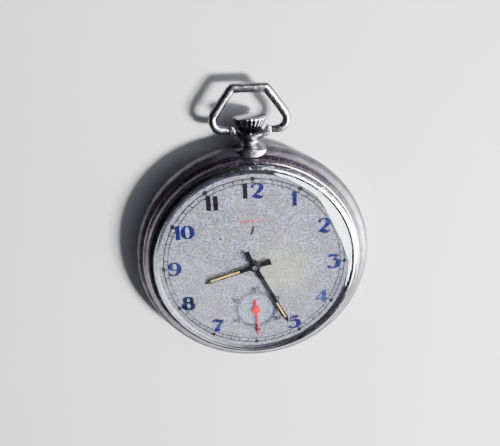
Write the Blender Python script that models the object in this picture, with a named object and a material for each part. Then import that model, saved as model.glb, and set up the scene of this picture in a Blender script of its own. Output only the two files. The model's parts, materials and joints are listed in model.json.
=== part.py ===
"""Open-face mechanical pocket watch with small seconds, crown winding and a hinged bow.

Every separate piece is one object. Lengths below are millimetres; MM turns them into Blender's metres.
Frame: +Z out of the dial, +Y to 12 o'clock, +X to 3 o'clock,
origin at the centre of the case back's rest face.
Heights are given from that rest face.
"""

import bmesh
import bpy
from math import acos, asin, atan2, ceil, cos, degrees, hypot, pi, radians, sin, sqrt
from mathutils import Matrix, Vector

MM = 0.001
GAP = 0.05           # between pieces that touch or fit into each other
FINE_GAP = 0.02      # between a hand and its lume, or a wheel and its arbor

# ---- time shown ----
HOURS = 8
MINUTES = 25.49

# ---- case ----
CASE_RADIUS = 25.15
BAND_HEIGHT = 4.6    # where the case is widest, and the height of the pendant's axis
DIAL_TOP = 8.6
DIAL_THICK = 0.4
DIAL_RADIUS = 21.3
OPENING_RADIUS = 20.9
CASE_TOP = 8.4
LEDGE_TOP = 5.85
LEDGE_BOTTOM = 5.2
BACK_WALL = 0.6
CRYSTAL_TOP = 12.0
CRYSTAL_EDGE = 9.0
RING_SEGMENTS = 40

# ---- pendant, crown and bow ----
BOW_AXIS_Y = 28.05
EAR_END = 4.2
EAR_RADIUS = 0.8
PIN_RADIUS = 0.45
BOW_WIRE = 0.92      # radius of the bow's wire
BOW_TOP = 36.25      # centre line of the bow's top bar
STEM_RADIUS = 0.6
CROWN_FLUTES = 22
CROWN_LOW = 27.85
CROWN_SHOULDER = 30.6
CROWN_END = 31.15

# ---- movement heights ----
PLATE_LOW = 5.9
PLATE_HIGH = 7.0
BRIDGE_LOW = 2.7
BRIDGE_HIGH = 3.6
PLATE_RADIUS = 21.4
BRIDGE_RADIUS = 20.3

BARREL_FLOOR = 4.65

# ---- movement centres, seen from the dial ----
CENTRE = (0.0, 0.0)
FOURTH = (0.0, -10.75)
BARREL_ANGLE = radians(155)
BALANCE = (10.8, -7.2)
BALANCE_RADIUS = 7.8
BALANCE_FOOT = (16.5, 3.5)
DIAL_FEET = ((15.5, 10.5), (-14.5, -11.0))
CASE_SCREW_RADIUS = 20.2
CASE_SCREW_ANGLES = (radians(45), radians(250))
CLICK = (-6.5, 14.8)
SETTING_LEVER = (3.9, 16.6)
YOKE = (-4.4, 17.2)
SLOT_HALF = 2.2      # half width of the plate's slot for the winding works
SLOT_START = 9.0
SLOT_END = 19.6

# ---- gears: (teeth, module) ----
BARREL_GEAR = (63, 0.2826)
CENTRE_PINION = (9, 0.2826)
CENTRE_GEAR = (48, 0.2267)
THIRD_PINION = (6, 0.2267)
THIRD_GEAR = (45, 0.2067)
FOURTH_PINION = (6, 0.2067)
FOURTH_GEAR = (60, 0.1467)
ESCAPE_PINION = (6, 0.1467)
RATCHET_GEAR = (56, 0.28)
CROWN_GEAR = (31, 0.28)
WINDING_GEAR = (13, 0.28)
CANNON_GEAR = (10, 0.18)
MINUTE_GEAR = (30, 0.18)
MINUTE_PINION = (8, 0.18)
HOUR_GEAR = (32, 0.18)
SETTING_GEAR = (18, 0.18)
ESCAPE_TEETH = 15
ESCAPE_RADIUS = 2.7


# ================= small geometry helpers =================

def pitch_radius(gear):
    return gear[0] * gear[1] / 2


def polar(centre, radius, angle):
    return (centre[0] + radius * cos(angle), centre[1] + radius * sin(angle))


def arc(centre, radius, start, end, steps):
    """Points on an arc, angles in degrees, both ends included."""
    turn = [radians(start + (end - start) * i / steps) for i in range(steps + 1)]
    return [polar(centre, radius, angle) for angle in turn]


def circle(centre, radius, steps=20):
    return [polar(centre, radius, 2 * pi * i / steps) for i in range(steps)]


def direction(start, end):
    return atan2(end[1] - start[1], end[0] - start[0])


def meeting_point(first, first_radius, second, second_radius):
    """The point at the two given distances from two centres, to the right of the line between them."""
    apart = hypot(second[0] - first[0], second[1] - first[1])
    along = (first_radius**2 - second_radius**2 + apart**2) / (2 * apart)
    angle = direction(first, second) - acos(along / first_radius)
    return polar(first, first_radius, angle)


def stadium(start, end, start_radius, end_radius, steps=8):
    """Outline of two round ends joined by straight sides, for levers and cocks."""
    angle = degrees(direction(start, end))
    apart = hypot(end[0] - start[0], end[1] - start[1])
    lean = degrees(asin((start_radius - end_radius) / apart))
    half = 90 - lean
    outline = arc(end, end_radius, angle - half, angle + half, steps)
    return outline + arc(start, start_radius, angle + half, angle + 360 - half, steps)


def gear_outline(gear, centre, phase, points_per_tooth=3):
    """Teeth round a centre, with one tooth at the angle phase."""
    teeth, module = gear
    pitch = pitch_radius(gear)
    root, tip = pitch - 1.15 * module, pitch + 0.75 * module
    step = 2 * pi / teeth
    outline = []
    for i in range(teeth):
        middle = phase + i * step
        outline.append(polar(centre, root, middle - 0.3 * step))
        if points_per_tooth == 3:
            outline.append(polar(centre, tip, middle))
        else:
            outline.append(polar(centre, tip, middle - 0.09 * step))
            outline.append(polar(centre, tip, middle + 0.09 * step))
        outline.append(polar(centre, root, middle + 0.3 * step))
    return outline


def mesh_phase(first, first_centre, first_phase, second, second_centre):
    """Phase of the second gear so that its gap takes the first gear's tooth."""
    line = direction(first_centre, second_centre)
    return line + pi + pi / second[0] - (first_phase - line) * first[0] / second[0]


def spiral_band(centre, inner, outer, turns, start, half_width, steps_per_turn):
    """Outline of a flat spiral strip, out along one side and back along the other."""
    steps = ceil(turns * steps_per_turn)
    sides = [[], []]
    for i in range(steps + 1):
        angle = start + 2 * pi * turns * i / steps
        radius = inner + (outer - inner) * i / steps
        sides[0].append(polar(centre, radius + half_width, angle))
        sides[1].append(polar(centre, radius - half_width, angle))
    return sides[0] + sides[1][::-1]


# ================= solids =================

def plate(outline, low, high, holes=()):
    """A flat piece: an outline with holes, filled and extruded."""
    bm = bmesh.new()
    for loop in [outline, *holes]:
        verts = [bm.verts.new((x, y, low)) for x, y in loop]
        for i, vert in enumerate(verts):
            bm.edges.new((vert, verts[(i + 1) % len(verts)]))
    bmesh.ops.triangle_fill(bm, edges=bm.edges[:], use_beauty=True, normal=(0, 0, 1))
    made = bmesh.ops.extrude_face_region(bm, geom=bm.faces[:], use_keep_orig=True)
    lifted = [item for item in made["geom"] if isinstance(item, bmesh.types.BMVert)]
    bmesh.ops.translate(bm, verts=lifted, vec=(0, 0, high - low))
    bmesh.ops.recalc_face_normals(bm, faces=bm.faces[:])
    return bm


def turned(profile, centre=(0, 0), segments=24):
    """A lathe piece about a vertical axis. The profile's (radius, height) points go round the section."""
    bm = bmesh.new()
    verts = [bm.verts.new((radius, 0, height)) for radius, height in profile]
    open_ended = profile[0][0] == 0 and profile[-1][0] == 0
    count = len(verts) - 1 if open_ended else len(verts)
    edges = [bm.edges.new((verts[i], verts[(i + 1) % len(verts)])) for i in range(count)]
    bmesh.ops.spin(
        bm, geom=verts + edges, cent=(0, 0, 0), axis=(0, 0, 1),
        angle=2 * pi, steps=segments, use_merge=True,
    )
    bmesh.ops.remove_doubles(bm, verts=bm.verts[:], dist=1e-4)
    bmesh.ops.recalc_face_normals(bm, faces=bm.faces[:])
    bmesh.ops.translate(bm, verts=bm.verts[:], vec=(*centre, 0))
    return bm


def stepped(sections, centre=(0, 0), segments=12, bore=None):
    """An arbor or a screw: stacked cylinders given as (radius, low, high), with a bore from its low end."""
    low = sections[0][1]
    profile = [(0, bore[1]), (bore[0], bore[1]), (bore[0], low)] if bore else [(0, low)]
    for radius, start, end in sections:
        profile += [(radius, start), (radius, end)]
    profile.append((0, sections[-1][2]))
    return turned(profile, centre, segments)


def box(low, high):
    outline = [(low[0], low[1]), (high[0], low[1]), (high[0], high[1]), (low[0], high[1])]
    return plate(outline, low[2], high[2])


def lie_along_y(bm, height):
    """Turn a piece made about +Z so that its axis runs along +Y at the given height."""
    bmesh.ops.rotate(bm, verts=bm.verts[:], cent=(0, 0, 0), matrix=Matrix.Rotation(-pi / 2, 3, "X"))
    bmesh.ops.translate(bm, verts=bm.verts[:], vec=(0, 0, height))
    return bm


def lie_along_x(bm, y, height):
    bmesh.ops.rotate(bm, verts=bm.verts[:], cent=(0, 0, 0), matrix=Matrix.Rotation(pi / 2, 3, "Y"))
    bmesh.ops.translate(bm, verts=bm.verts[:], vec=(0, y, height))
    return bm


def tube(points, radii, sides):
    """A round wire along points that lie in one horizontal plane, with flat ends."""
    bm = bmesh.new()
    rings = []
    for i, (x, y, z) in enumerate(points):
        before, after = points[max(i - 1, 0)], points[min(i + 1, len(points) - 1)]
        ahead = Vector((after[0] - before[0], after[1] - before[1], 0)).normalized()
        across = Vector((-ahead.y, ahead.x, 0))
        ring = []
        for k in range(sides):
            angle = 2 * pi * k / sides
            offset = across * cos(angle) + Vector((0, 0, sin(angle)))
            ring.append(bm.verts.new(Vector((x, y, z)) + offset * radii[i]))
        rings.append(ring)
    for ring, following in zip(rings, rings[1:]):
        for k in range(sides):
            after = (k + 1) % sides
            bm.faces.new((ring[k], ring[after], following[after], following[k]))
    bm.faces.new(rings[0])
    bm.faces.new(rings[-1])
    bmesh.ops.recalc_face_normals(bm, faces=bm.faces[:])
    return bm


def object_from(bm, name):
    """A Blender object from a bmesh whose coordinates are still in millimetres."""
    mesh = bpy.data.meshes.new(name)
    bm.to_mesh(mesh)
    bm.free()
    obj = bpy.data.objects.new(name, mesh)
    bpy.context.scene.collection.objects.link(obj)
    return obj


def combined(base, others, operation):
    """The base with each other solid joined to it or cut from it, as a new bmesh."""
    helpers = [object_from(base, "base")] + [object_from(bm, "helper") for bm in others]
    for helper in helpers[1:]:
        modifier = helpers[0].modifiers.new("combine", "BOOLEAN")
        modifier.operation = operation
        modifier.solver = "EXACT"
        modifier.object = helper
    graph = bpy.context.evaluated_depsgraph_get()
    evaluated = helpers[0].evaluated_get(graph)
    result = bmesh.new()
    result.from_mesh(evaluated.to_mesh())
    evaluated.to_mesh_clear()
    for helper in helpers:
        mesh = helper.data
        bpy.data.objects.remove(helper)
        bpy.data.meshes.remove(mesh)
    return result


def joined(base, *others):
    return combined(base, others, "UNION")


def cut(base, *others):
    return combined(base, others, "DIFFERENCE")


# ================= materials =================

def make_material(name, colour, metallic, roughness, transmission=0.0):
    material = bpy.data.materials.new(name)
    material.use_nodes = True
    shader = material.node_tree.nodes["Principled BSDF"]
    shader.inputs["Base Color"].default_value = (*colour, 1)
    shader.inputs["Metallic"].default_value = metallic
    shader.inputs["Roughness"].default_value = roughness
    shader.inputs["Transmission Weight"].default_value = transmission
    return material


FINISHES = {
    "case_nickel": ((0.62, 0.61, 0.62), 1.0, 0.22, 0.0),
    "satin_nickel": ((0.55, 0.54, 0.55), 1.0, 0.4, 0.0),
    "crystal": ((0.95, 0.96, 0.97), 0.0, 0.03, 1.0),
    "silvered": ((0.62, 0.61, 0.56), 0.3, 0.6, 0.0),
    "black_paint": ((0.015, 0.015, 0.017), 0.0, 0.35, 0.0),
    "lume": ((0.72, 0.62, 0.30), 0.0, 0.8, 0.0),
    "red_paint": ((0.65, 0.03, 0.03), 0.0, 0.35, 0.0),
    "movement_nickel": ((0.66, 0.64, 0.60), 1.0, 0.3, 0.0),
    "brass": ((0.78, 0.58, 0.26), 1.0, 0.28, 0.0),
    "steel": ((0.56, 0.57, 0.58), 1.0, 0.2, 0.0),
    "blued_steel": ((0.05, 0.08, 0.32), 1.0, 0.25, 0.0),
}


def add(name, bm, finish, origin=(0, 0, 0)):
    """Make the named piece, with its origin at the given point, for instance on its joint's axis."""
    bmesh.ops.translate(bm, verts=bm.verts[:], vec=[-value for value in origin])
    bmesh.ops.scale(bm, verts=bm.verts[:], vec=(MM, MM, MM))
    obj = object_from(bm, name)
    obj.location = [value * MM for value in origin]
    obj.data.shade_smooth()
    obj.data.set_sharp_from_angle(angle=radians(35))
    obj.data.materials.append(make_material(name, *FINISHES[finish]))
    return obj


# ================= case =================

def domed_back():
    """Outside heights of the snap-on back, from its rest face to its rim."""
    return [(0, 0), (12, 0), (15.5, 0.12), (19, 0.42), (22, 0.9), (23.7, 1.45), (24.75, 2.42)]


def make_case():
    middle = turned(
        [
            (22.05, CASE_TOP), (22.42, CASE_TOP), (22.9, 7.72), (23.5, 7.12), (23.62, 6.95),
            (24.6, 6.2), (25.02, 5.45), (CASE_RADIUS, BAND_HEIGHT), (25.05, 3.6), (24.8, 2.5),
            (23.9, 2.5), (23.9, 1.9), (21.9, 1.9), (21.9, LEDGE_BOTTOM),
            (OPENING_RADIUS, LEDGE_BOTTOM), (OPENING_RADIUS, LEDGE_TOP), (21.75, LEDGE_TOP), (22.05, 7.5),
        ],
        segments=RING_SEGMENTS,
    )
    bore = lie_along_y(stepped([(0.75, 18, 27)]), BAND_HEIGHT)
    add("case_middle", cut(middle, bore), "case_nickel")

    bezel = turned(
        [
            (OPENING_RADIUS, 9.5), (21.35, 9.44), (22.1, 8.98), (22.25, 8.92), (22.25, 8.47),
            (22.0, 8.47), (22.0, 7.6), (21.45, 7.6), (21.45, DIAL_TOP + GAP),
            (OPENING_RADIUS, DIAL_TOP + GAP), (OPENING_RADIUS, 8.9), (21.3, 8.95),
            (21.3, 9.25), (20.95, 9.32),
        ],
        segments=RING_SEGMENTS,
    )
    add("bezel", bezel, "case_nickel")

    outside = domed_back()
    inside = [(24.0, 2.42), (24.0, 1.8), (21, 1.25), (12, BACK_WALL), (0, BACK_WALL)]
    add("case_back", turned(outside + inside, segments=RING_SEGMENTS), "case_nickel")

    for name, angle in zip(("case_screw_a", "case_screw_b"), CASE_SCREW_ANGLES):
        at = polar(CENTRE, CASE_SCREW_RADIUS, angle)
        screw = stepped([(1.0, 4.6, LEDGE_BOTTOM - GAP), (0.4, LEDGE_BOTTOM - GAP, 6.8)], at)
        slot = box((at[0] - 1.2, at[1] - 0.12, 4.5), (at[0] + 1.2, at[1] + 0.12, 4.85))
        add(name, cut(screw, slot), "blued_steel")


def crystal_height(radius, rise):
    """Height of the domed glass above its edge."""
    return rise * (1 - (radius / OPENING_RADIUS) ** 2.2)


def make_crystal():
    stations = [0, 6, 11, 15, 18.5]
    top_rise = CRYSTAL_TOP - CRYSTAL_EDGE - 0.4
    top = [(r, CRYSTAL_EDGE + 0.4 + crystal_height(r, top_rise)) for r in stations]
    under = [(r, CRYSTAL_EDGE + crystal_height(r, top_rise - 0.4)) for r in stations]
    rim = [(OPENING_RADIUS, 9.3), (21.24, 9.2), (21.24, 9.0), (20.8, 8.98)]
    add("crystal", turned(top + rim + under[::-1], segments=36), "crystal")


def make_pendant():
    """A waisted tube that grows out of the band, with a cup for the crown and two ears for the bow."""
    profile = [
        (0, 22.0), (3.7, 22.0), (3.6, 24.35), (3.0, 24.75), (2.2, 25.2), (1.75, 25.65), (1.65, 26.0),
        (1.95, 26.35), (2.6, 26.85), (3.2, 27.3), (3.45, 27.72), (0, 27.72),
    ]
    body = turned(profile, segments=28)
    for vert in body.verts:
        low_part = min(max((25.6 - vert.co.z) / 1.2, 0), 1)
        vert.co.y *= 1 - 0.2 * low_part
    body = lie_along_y(body, BAND_HEIGHT)
    ears = []
    ear_side = [(1.2, 26.15), (1.9, 26.3), (EAR_END, 27.25), (EAR_END, 28.85), (3.15, 28.85), (2.75, 27.75)]
    for side in (-1, 1):
        outline = [(side * x, y) for x, y in ear_side]
        ear = plate(outline, BAND_HEIGHT - EAR_RADIUS, BAND_HEIGHT + EAR_RADIUS)
        end = lie_along_x(stepped([(PIN_RADIUS + GAP, -1, 1)]), BOW_AXIS_Y, BAND_HEIGHT)
        bmesh.ops.translate(end, verts=end.verts[:], vec=(side * (EAR_END - 0.2), 0, 0))
        ears.append(cut(ear, end))
    cup = [(0, 27.05), (2.0, 27.05), (2.5, 27.3), (3.05, 27.8), (3.05, 29.5), (0, 29.5)]
    cavity = lie_along_y(turned(cup), BAND_HEIGHT)
    bore = lie_along_y(stepped([(0.9, 21, 28)]), BAND_HEIGHT)
    case_space = turned(
        [
            (0, 9), (22.45, 9), (22.95, 7.74), (23.55, 7.15), (23.68, 6.98), (24.66, 6.22), (25.08, 5.47),
            (CASE_RADIUS + GAP, BAND_HEIGHT), (25.1, 3.6), (24.86, 2.5), (24.83, 2.36),
            (23.7, 1.2), (22, 0.5), (0, 0),
        ],
        segments=RING_SEGMENTS,
    )
    add("pendant", cut(joined(body, *ears), cavity, bore, case_space), "case_nickel")


def bow_path():
    """Centre line of the bow from one pin round to the other, as (x, y, wire radius)."""
    side = [(3.45, BOW_AXIS_Y, PIN_RADIUS), (EAR_END + 0.02, BOW_AXIS_Y, PIN_RADIUS)]
    side += [(EAR_END + GAP, BOW_AXIS_Y, 0.68), (4.9, BOW_AXIS_Y + 0.02, 0.74)]
    corner = (5.35, 30.1)
    side += [(*point, 0.85) for point in arc(corner, 2.0, -78, 28, 6)]
    side += [(6.95, 31.35, BOW_WIRE), (5.2, 33.8, BOW_WIRE)]
    side += [(*point, BOW_WIRE) for point in arc((3.0, 35.55), 0.7, 30, 85, 3)]
    top = [(0, BOW_TOP, BOW_WIRE)]
    return side + top + [(-x, y, radius) for x, y, radius in side[::-1]]


def make_bow():
    path = bow_path()
    points = [(x, y, BAND_HEIGHT) for x, y, _ in path]
    bow = tube(points, [radius for _, _, radius in path], 8)
    add("bow", bow, "case_nickel", (0, BOW_AXIS_Y, BAND_HEIGHT))


def make_crown():
    """A cone that widens to its shoulder, with round flutes down its side and a shallow dome on its end."""
    profile = [
        (0.0, 29.4, 0), (STEM_RADIUS + FINE_GAP, 29.4, 0), (STEM_RADIUS + FINE_GAP, CROWN_LOW - 0.1, 0),
        (1.75, CROWN_LOW - 0.1, 0), (2.0, CROWN_LOW, 0.5), (3.42, 30.3, 1),
        (3.5, CROWN_SHOULDER, 0.6), (3.3, 30.86, 0), (2.0, 31.05, 0), (0.0, CROWN_END, 0),
    ]
    crown = bmesh.new()
    around = CROWN_FLUTES * 2
    rings = []
    for radius, height, depth in profile:
        if radius == 0:
            rings.append([crown.verts.new((0, 0, height))])
            continue
        ring = []
        for i in range(around):
            flute = 0.24 * depth * (i % 2)
            ring.append(crown.verts.new((*polar((0, 0), radius - flute, 2 * pi * i / around), height)))
        rings.append(ring)
    for ring, following in zip(rings, rings[1:]):
        for i in range(around):
            after = (i + 1) % around
            corners = [ring[i % len(ring)], ring[after % len(ring)]]
            corners += [following[after % len(following)], following[i % len(following)]]
            crown.faces.new(list(dict.fromkeys(corners)))
    bmesh.ops.recalc_face_normals(crown, faces=crown.faces[:])
    add("crown", lie_along_y(crown, BAND_HEIGHT), "case_nickel", (0, CROWN_LOW, BAND_HEIGHT))


# ================= dial and hands =================

def make_dial():
    low = DIAL_TOP - DIAL_THICK
    holes = [circle(CENTRE, 1.1), circle(FOURTH, 0.4, 12)]
    face = plate(circle(CENTRE, DIAL_RADIUS, 48), low, DIAL_TOP, holes)
    sink = stepped([(3.8, DIAL_TOP - 0.12, DIAL_TOP + 1)], FOURTH, 32)
    feet = [stepped([(0.4, 6.2, low + 0.1)], at, 12) for at in DIAL_FEET]
    add("dial", joined(cut(face, sink), *feet), "silvered")


def hand_angle(share_of_turn):
    """Direction of a hand, counter-clockwise from +X, after a share of a turn from 12 o'clock."""
    return pi / 2 - 2 * pi * share_of_turn


def place_hand(bm, centre, angle):
    bmesh.ops.rotate(bm, verts=bm.verts[:], cent=(0, 0, 0), matrix=Matrix.Rotation(angle, 3, "Z"))
    bmesh.ops.translate(bm, verts=bm.verts[:], vec=(*centre, 0))
    return bm


def baton(length, tail, half_width, hub, hole, lume_start, lume_end, low, high):
    """A baton hand along +X with a flared tail, a round hub and a window for its lume."""
    side = asin(half_width / hub)
    hub_side = arc((0, 0), hub, degrees(side), 180 - degrees(side), 8)
    upper = [(length, 0), (length - 1.3, half_width)] + hub_side + [(-tail, half_width * 1.25)]
    outline = upper + [(x, -y) for x, y in upper[:0:-1]]
    window = half_width * 0.62
    opening = [(lume_start, -window), (lume_end, -window), (lume_end, window), (lume_start, window)]
    return plate(outline, low, high, [circle((0, 0), hole, 16), opening])


def lume(half_width, start, end, low, high):
    side = half_width * 0.62 - FINE_GAP
    return box((start + FINE_GAP, -side, low), (end - FINE_GAP, side, high))


def make_hands():
    hour = hand_angle((HOURS + MINUTES / 60) / 12)
    minute = hand_angle(MINUTES / 60)
    second = hand_angle(MINUTES % 1)
    hour_hand = baton(11.3, 3.5, 0.5, 1.25, 0.85 + FINE_GAP, 3.4, 9.9, 9.22, 9.37)
    add("hour_hand", place_hand(hour_hand, CENTRE, hour), "black_paint")
    add("hour_lume", place_hand(lume(0.5, 3.4, 9.9, 9.24, 9.4), CENTRE, hour), "lume")
    minute_hand = baton(15.5, 4.0, 0.47, 1.0, 0.5 + FINE_GAP, 9.8, 14.1, 9.6, 9.75)
    add("minute_hand", place_hand(minute_hand, CENTRE, minute), "black_paint")
    add("minute_lume", place_hand(lume(0.47, 9.8, 14.1, 9.62, 9.78), CENTRE, minute), "lume")
    boss = arc((0, 0), 0.9, 14, 166, 10)
    upper = [(6.4, 0.06), (5.9, 0.12)] + boss + [(-2.7, 0.32)]
    outline = upper + [(x, -y) for x, y in upper[::-1]]
    seconds_hand = plate(outline, 8.95, 9.08, [circle((0, 0), 0.15 + FINE_GAP, 12)])
    add("seconds_hand", place_hand(seconds_hand, FOURTH, second), "red_paint", (*FOURTH, 9))


# ================= movement =================

BARREL = polar(CENTRE, pitch_radius(BARREL_GEAR) + pitch_radius(CENTRE_PINION), BARREL_ANGLE)
WINDING_REACH = pitch_radius(RATCHET_GEAR) + pitch_radius(CROWN_GEAR)
CROWN_WHEEL = (0.0, BARREL[1] + sqrt(WINDING_REACH**2 - BARREL[0] ** 2))
THIRD = meeting_point(
    FOURTH, pitch_radius(THIRD_GEAR) + pitch_radius(FOURTH_PINION),
    CENTRE, pitch_radius(CENTRE_GEAR) + pitch_radius(THIRD_PINION),
)
ESCAPE = polar(FOURTH, pitch_radius(FOURTH_GEAR) + pitch_radius(ESCAPE_PINION), radians(-20))
LEVER_ANGLE = direction(ESCAPE, BALANCE)
PALLET = polar(ESCAPE, 3.5, LEVER_ANGLE)
MINUTE_WHEEL = (0.0, pitch_radius(CANNON_GEAR) + pitch_radius(MINUTE_GEAR))
SETTING = (0.0, MINUTE_WHEEL[1] + pitch_radius(MINUTE_GEAR) + pitch_radius(SETTING_GEAR))
INTERMEDIATE = (0.0, SETTING[1] + 2 * pitch_radius(SETTING_GEAR))
CLICK_TIP = polar(BARREL, 8.3, radians(88))

# Wheels on one arbor share its centre. Each phase follows from the gear that it meshes with.
BARREL_PHASE = 0.0
CENTRE_PINION_PHASE = mesh_phase(BARREL_GEAR, BARREL, BARREL_PHASE, CENTRE_PINION, CENTRE)
THIRD_PINION_PHASE = mesh_phase(CENTRE_GEAR, CENTRE, 0.0, THIRD_PINION, THIRD)
FOURTH_PINION_PHASE = mesh_phase(THIRD_GEAR, THIRD, 0.0, FOURTH_PINION, FOURTH)
ESCAPE_PINION_PHASE = mesh_phase(FOURTH_GEAR, FOURTH, 0.0, ESCAPE_PINION, ESCAPE)
CROWN_WHEEL_PHASE = mesh_phase(RATCHET_GEAR, BARREL, 0.0, CROWN_GEAR, CROWN_WHEEL)
MINUTE_PHASE = mesh_phase(CANNON_GEAR, CENTRE, 0.0, MINUTE_GEAR, MINUTE_WHEEL)
HOUR_PHASE = mesh_phase(MINUTE_PINION, MINUTE_WHEEL, 0.0, HOUR_GEAR, CENTRE)
SETTING_PHASE = mesh_phase(MINUTE_GEAR, MINUTE_WHEEL, MINUTE_PHASE, SETTING_GEAR, SETTING)
INTERMEDIATE_PHASE = mesh_phase(SETTING_GEAR, SETTING, SETTING_PHASE, SETTING_GEAR, INTERMEDIATE)


def pillar(at, radius, low=BRIDGE_HIGH - 0.2, high=PLATE_LOW - GAP):
    return stepped([(radius, low, high)], at, 16)


def make_plate_and_bridges():
    slot = [(-SLOT_HALF, SLOT_START), (SLOT_HALF, SLOT_START), (SLOT_HALF, SLOT_END)]
    slot.append((-SLOT_HALF, SLOT_END))
    holes = [circle(CENTRE, 0.55, 16), circle(FOURTH, 0.2, 10), circle(BARREL, 0.65, 16), slot]
    holes += [circle(at, 0.17, 10) for at in (THIRD, ESCAPE, PALLET, BALANCE)]
    screws = [polar(CENTRE, CASE_SCREW_RADIUS, angle) for angle in CASE_SCREW_ANGLES]
    holes += [circle(at, 0.45, 12) for at in (*screws, *DIAL_FEET)]
    base = plate(circle(CENTRE, PLATE_RADIUS, 48), PLATE_LOW, PLATE_HIGH, holes)
    studs = [
        stepped([(0.3, PLATE_HIGH - 0.2, 8.1)], MINUTE_WHEEL, 12),
        stepped([(0.35, PLATE_HIGH - 0.2, 7.85)], SETTING, 12),
        stepped([(0.4, 5.3, 7.85)], INTERMEDIATE, 12),
    ]
    inner_block = box((-1.2, 10.4, 3.65), (3.2, 12.4, 5.5))
    step = box((SLOT_HALF, 10.4, 5.0), (3.2, 12.4, PLATE_LOW + 0.2))
    outer_block = box((-1.8, SLOT_END, 3.4), (1.8, 20.7, PLATE_LOW + 0.2))
    bore = lie_along_y(stepped([(0.45, 9, 13), (STEM_RADIUS + GAP, 13, 22)]), BAND_HEIGHT)
    solid = joined(base, inner_block, step, outer_block, *studs)
    add("main_plate", cut(solid, bore), "movement_nickel")

    notch = SLOT_HALF + 0.2
    notch_angle = degrees(asin(notch / BRIDGE_RADIUS))
    outline = arc(CENTRE, BRIDGE_RADIUS, 52, 90 - notch_angle, 6) + [(notch, 15.2), (-notch, 15.2)]
    outline += arc(CENTRE, BRIDGE_RADIUS, 90 + notch_angle, 212, 20) + arc(CENTRE, 2.8, 235, 330, 6)
    holes = [circle(CENTRE, 0.3, 12), circle(BARREL, 0.95, 20)]
    holes += [circle(CROWN_WHEEL, 0.5, 12), circle(CLICK, 0.4, 12)]
    bridge = plate(outline, BRIDGE_LOW, BRIDGE_HIGH, holes)
    feet = [pillar((-16.6, -6.2), 1.5), pillar((-4.8, 17.6), 1.3), pillar((7.6, 14.2), 1.5)]
    add("barrel_bridge", joined(bridge, *feet), "movement_nickel")

    outline = arc(THIRD, 0.8, -20, 130, 6) + arc((-7.5, -14.5), 1.8, 125, 260, 8)
    outline += arc((-1.5, -17.3), 1.7, 260, 330, 5) + arc(FOURTH, 2.0, -50, 10, 5)
    bridge = plate(outline, BRIDGE_LOW, BRIDGE_HIGH, [circle(THIRD, 0.17, 10), circle(FOURTH, 0.17, 10)])
    bridge = joined(bridge, pillar((-7.5, -14.5), 1.5), pillar((-1.5, -17.3), 1.4))
    add("train_bridge", bridge, "movement_nickel")

    foot = (9.4, -14.6)
    outline = arc(ESCAPE, 1.0, 130, 270, 6) + arc(foot, 1.4, 250, 380, 7) + arc(PALLET, 1.0, 0, 130, 6)
    cock = plate(outline, 3.7, 4.1, [circle(ESCAPE, 0.15, 10), circle(PALLET, 0.15, 10)])
    add("escapement_cock", joined(cock, pillar(foot, 1.2, 3.9)), "movement_nickel")

    outline = stadium(BALANCE, BALANCE_FOOT, 2.0, 2.6, 10)
    screw_at = polar(BALANCE_FOOT, 0.6, direction(BALANCE, BALANCE_FOOT))
    cock = plate(outline, 1.2, 2.1, [circle(BALANCE, 0.17, 10), circle(screw_at, 0.95, 12)])
    foot = plate(circle(BALANCE_FOOT, 1.8, 20), 1.9, PLATE_LOW - GAP, [circle(screw_at, 0.5, 12)])
    add("balance_cock", joined(cock, foot), "movement_nickel")
    screw = stepped([(0.85, 1.35, 1.85), (0.45, 1.85, 4.5)], screw_at)
    slot = box((screw_at[0] - 1, screw_at[1] - 0.1, 1.0), (screw_at[0] + 1, screw_at[1] + 0.1, 1.55))
    add("balance_cock_screw", cut(screw, slot), "blued_steel")

    pointer = polar(BALANCE, 3.8, direction(BALANCE, CENTRE))
    outline = stadium(BALANCE, pointer, 1.5, 0.25, 8)
    regulator = plate(outline, 0.92, 1.15, [circle(BALANCE, 0.95, 16)])
    add("regulator", regulator, "steel", (*BALANCE, 1.0))
    add("endpiece", stepped([(0.7, 0.93, 0.98), (0.9, 0.98, 1.15)], BALANCE), "steel")


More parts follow.
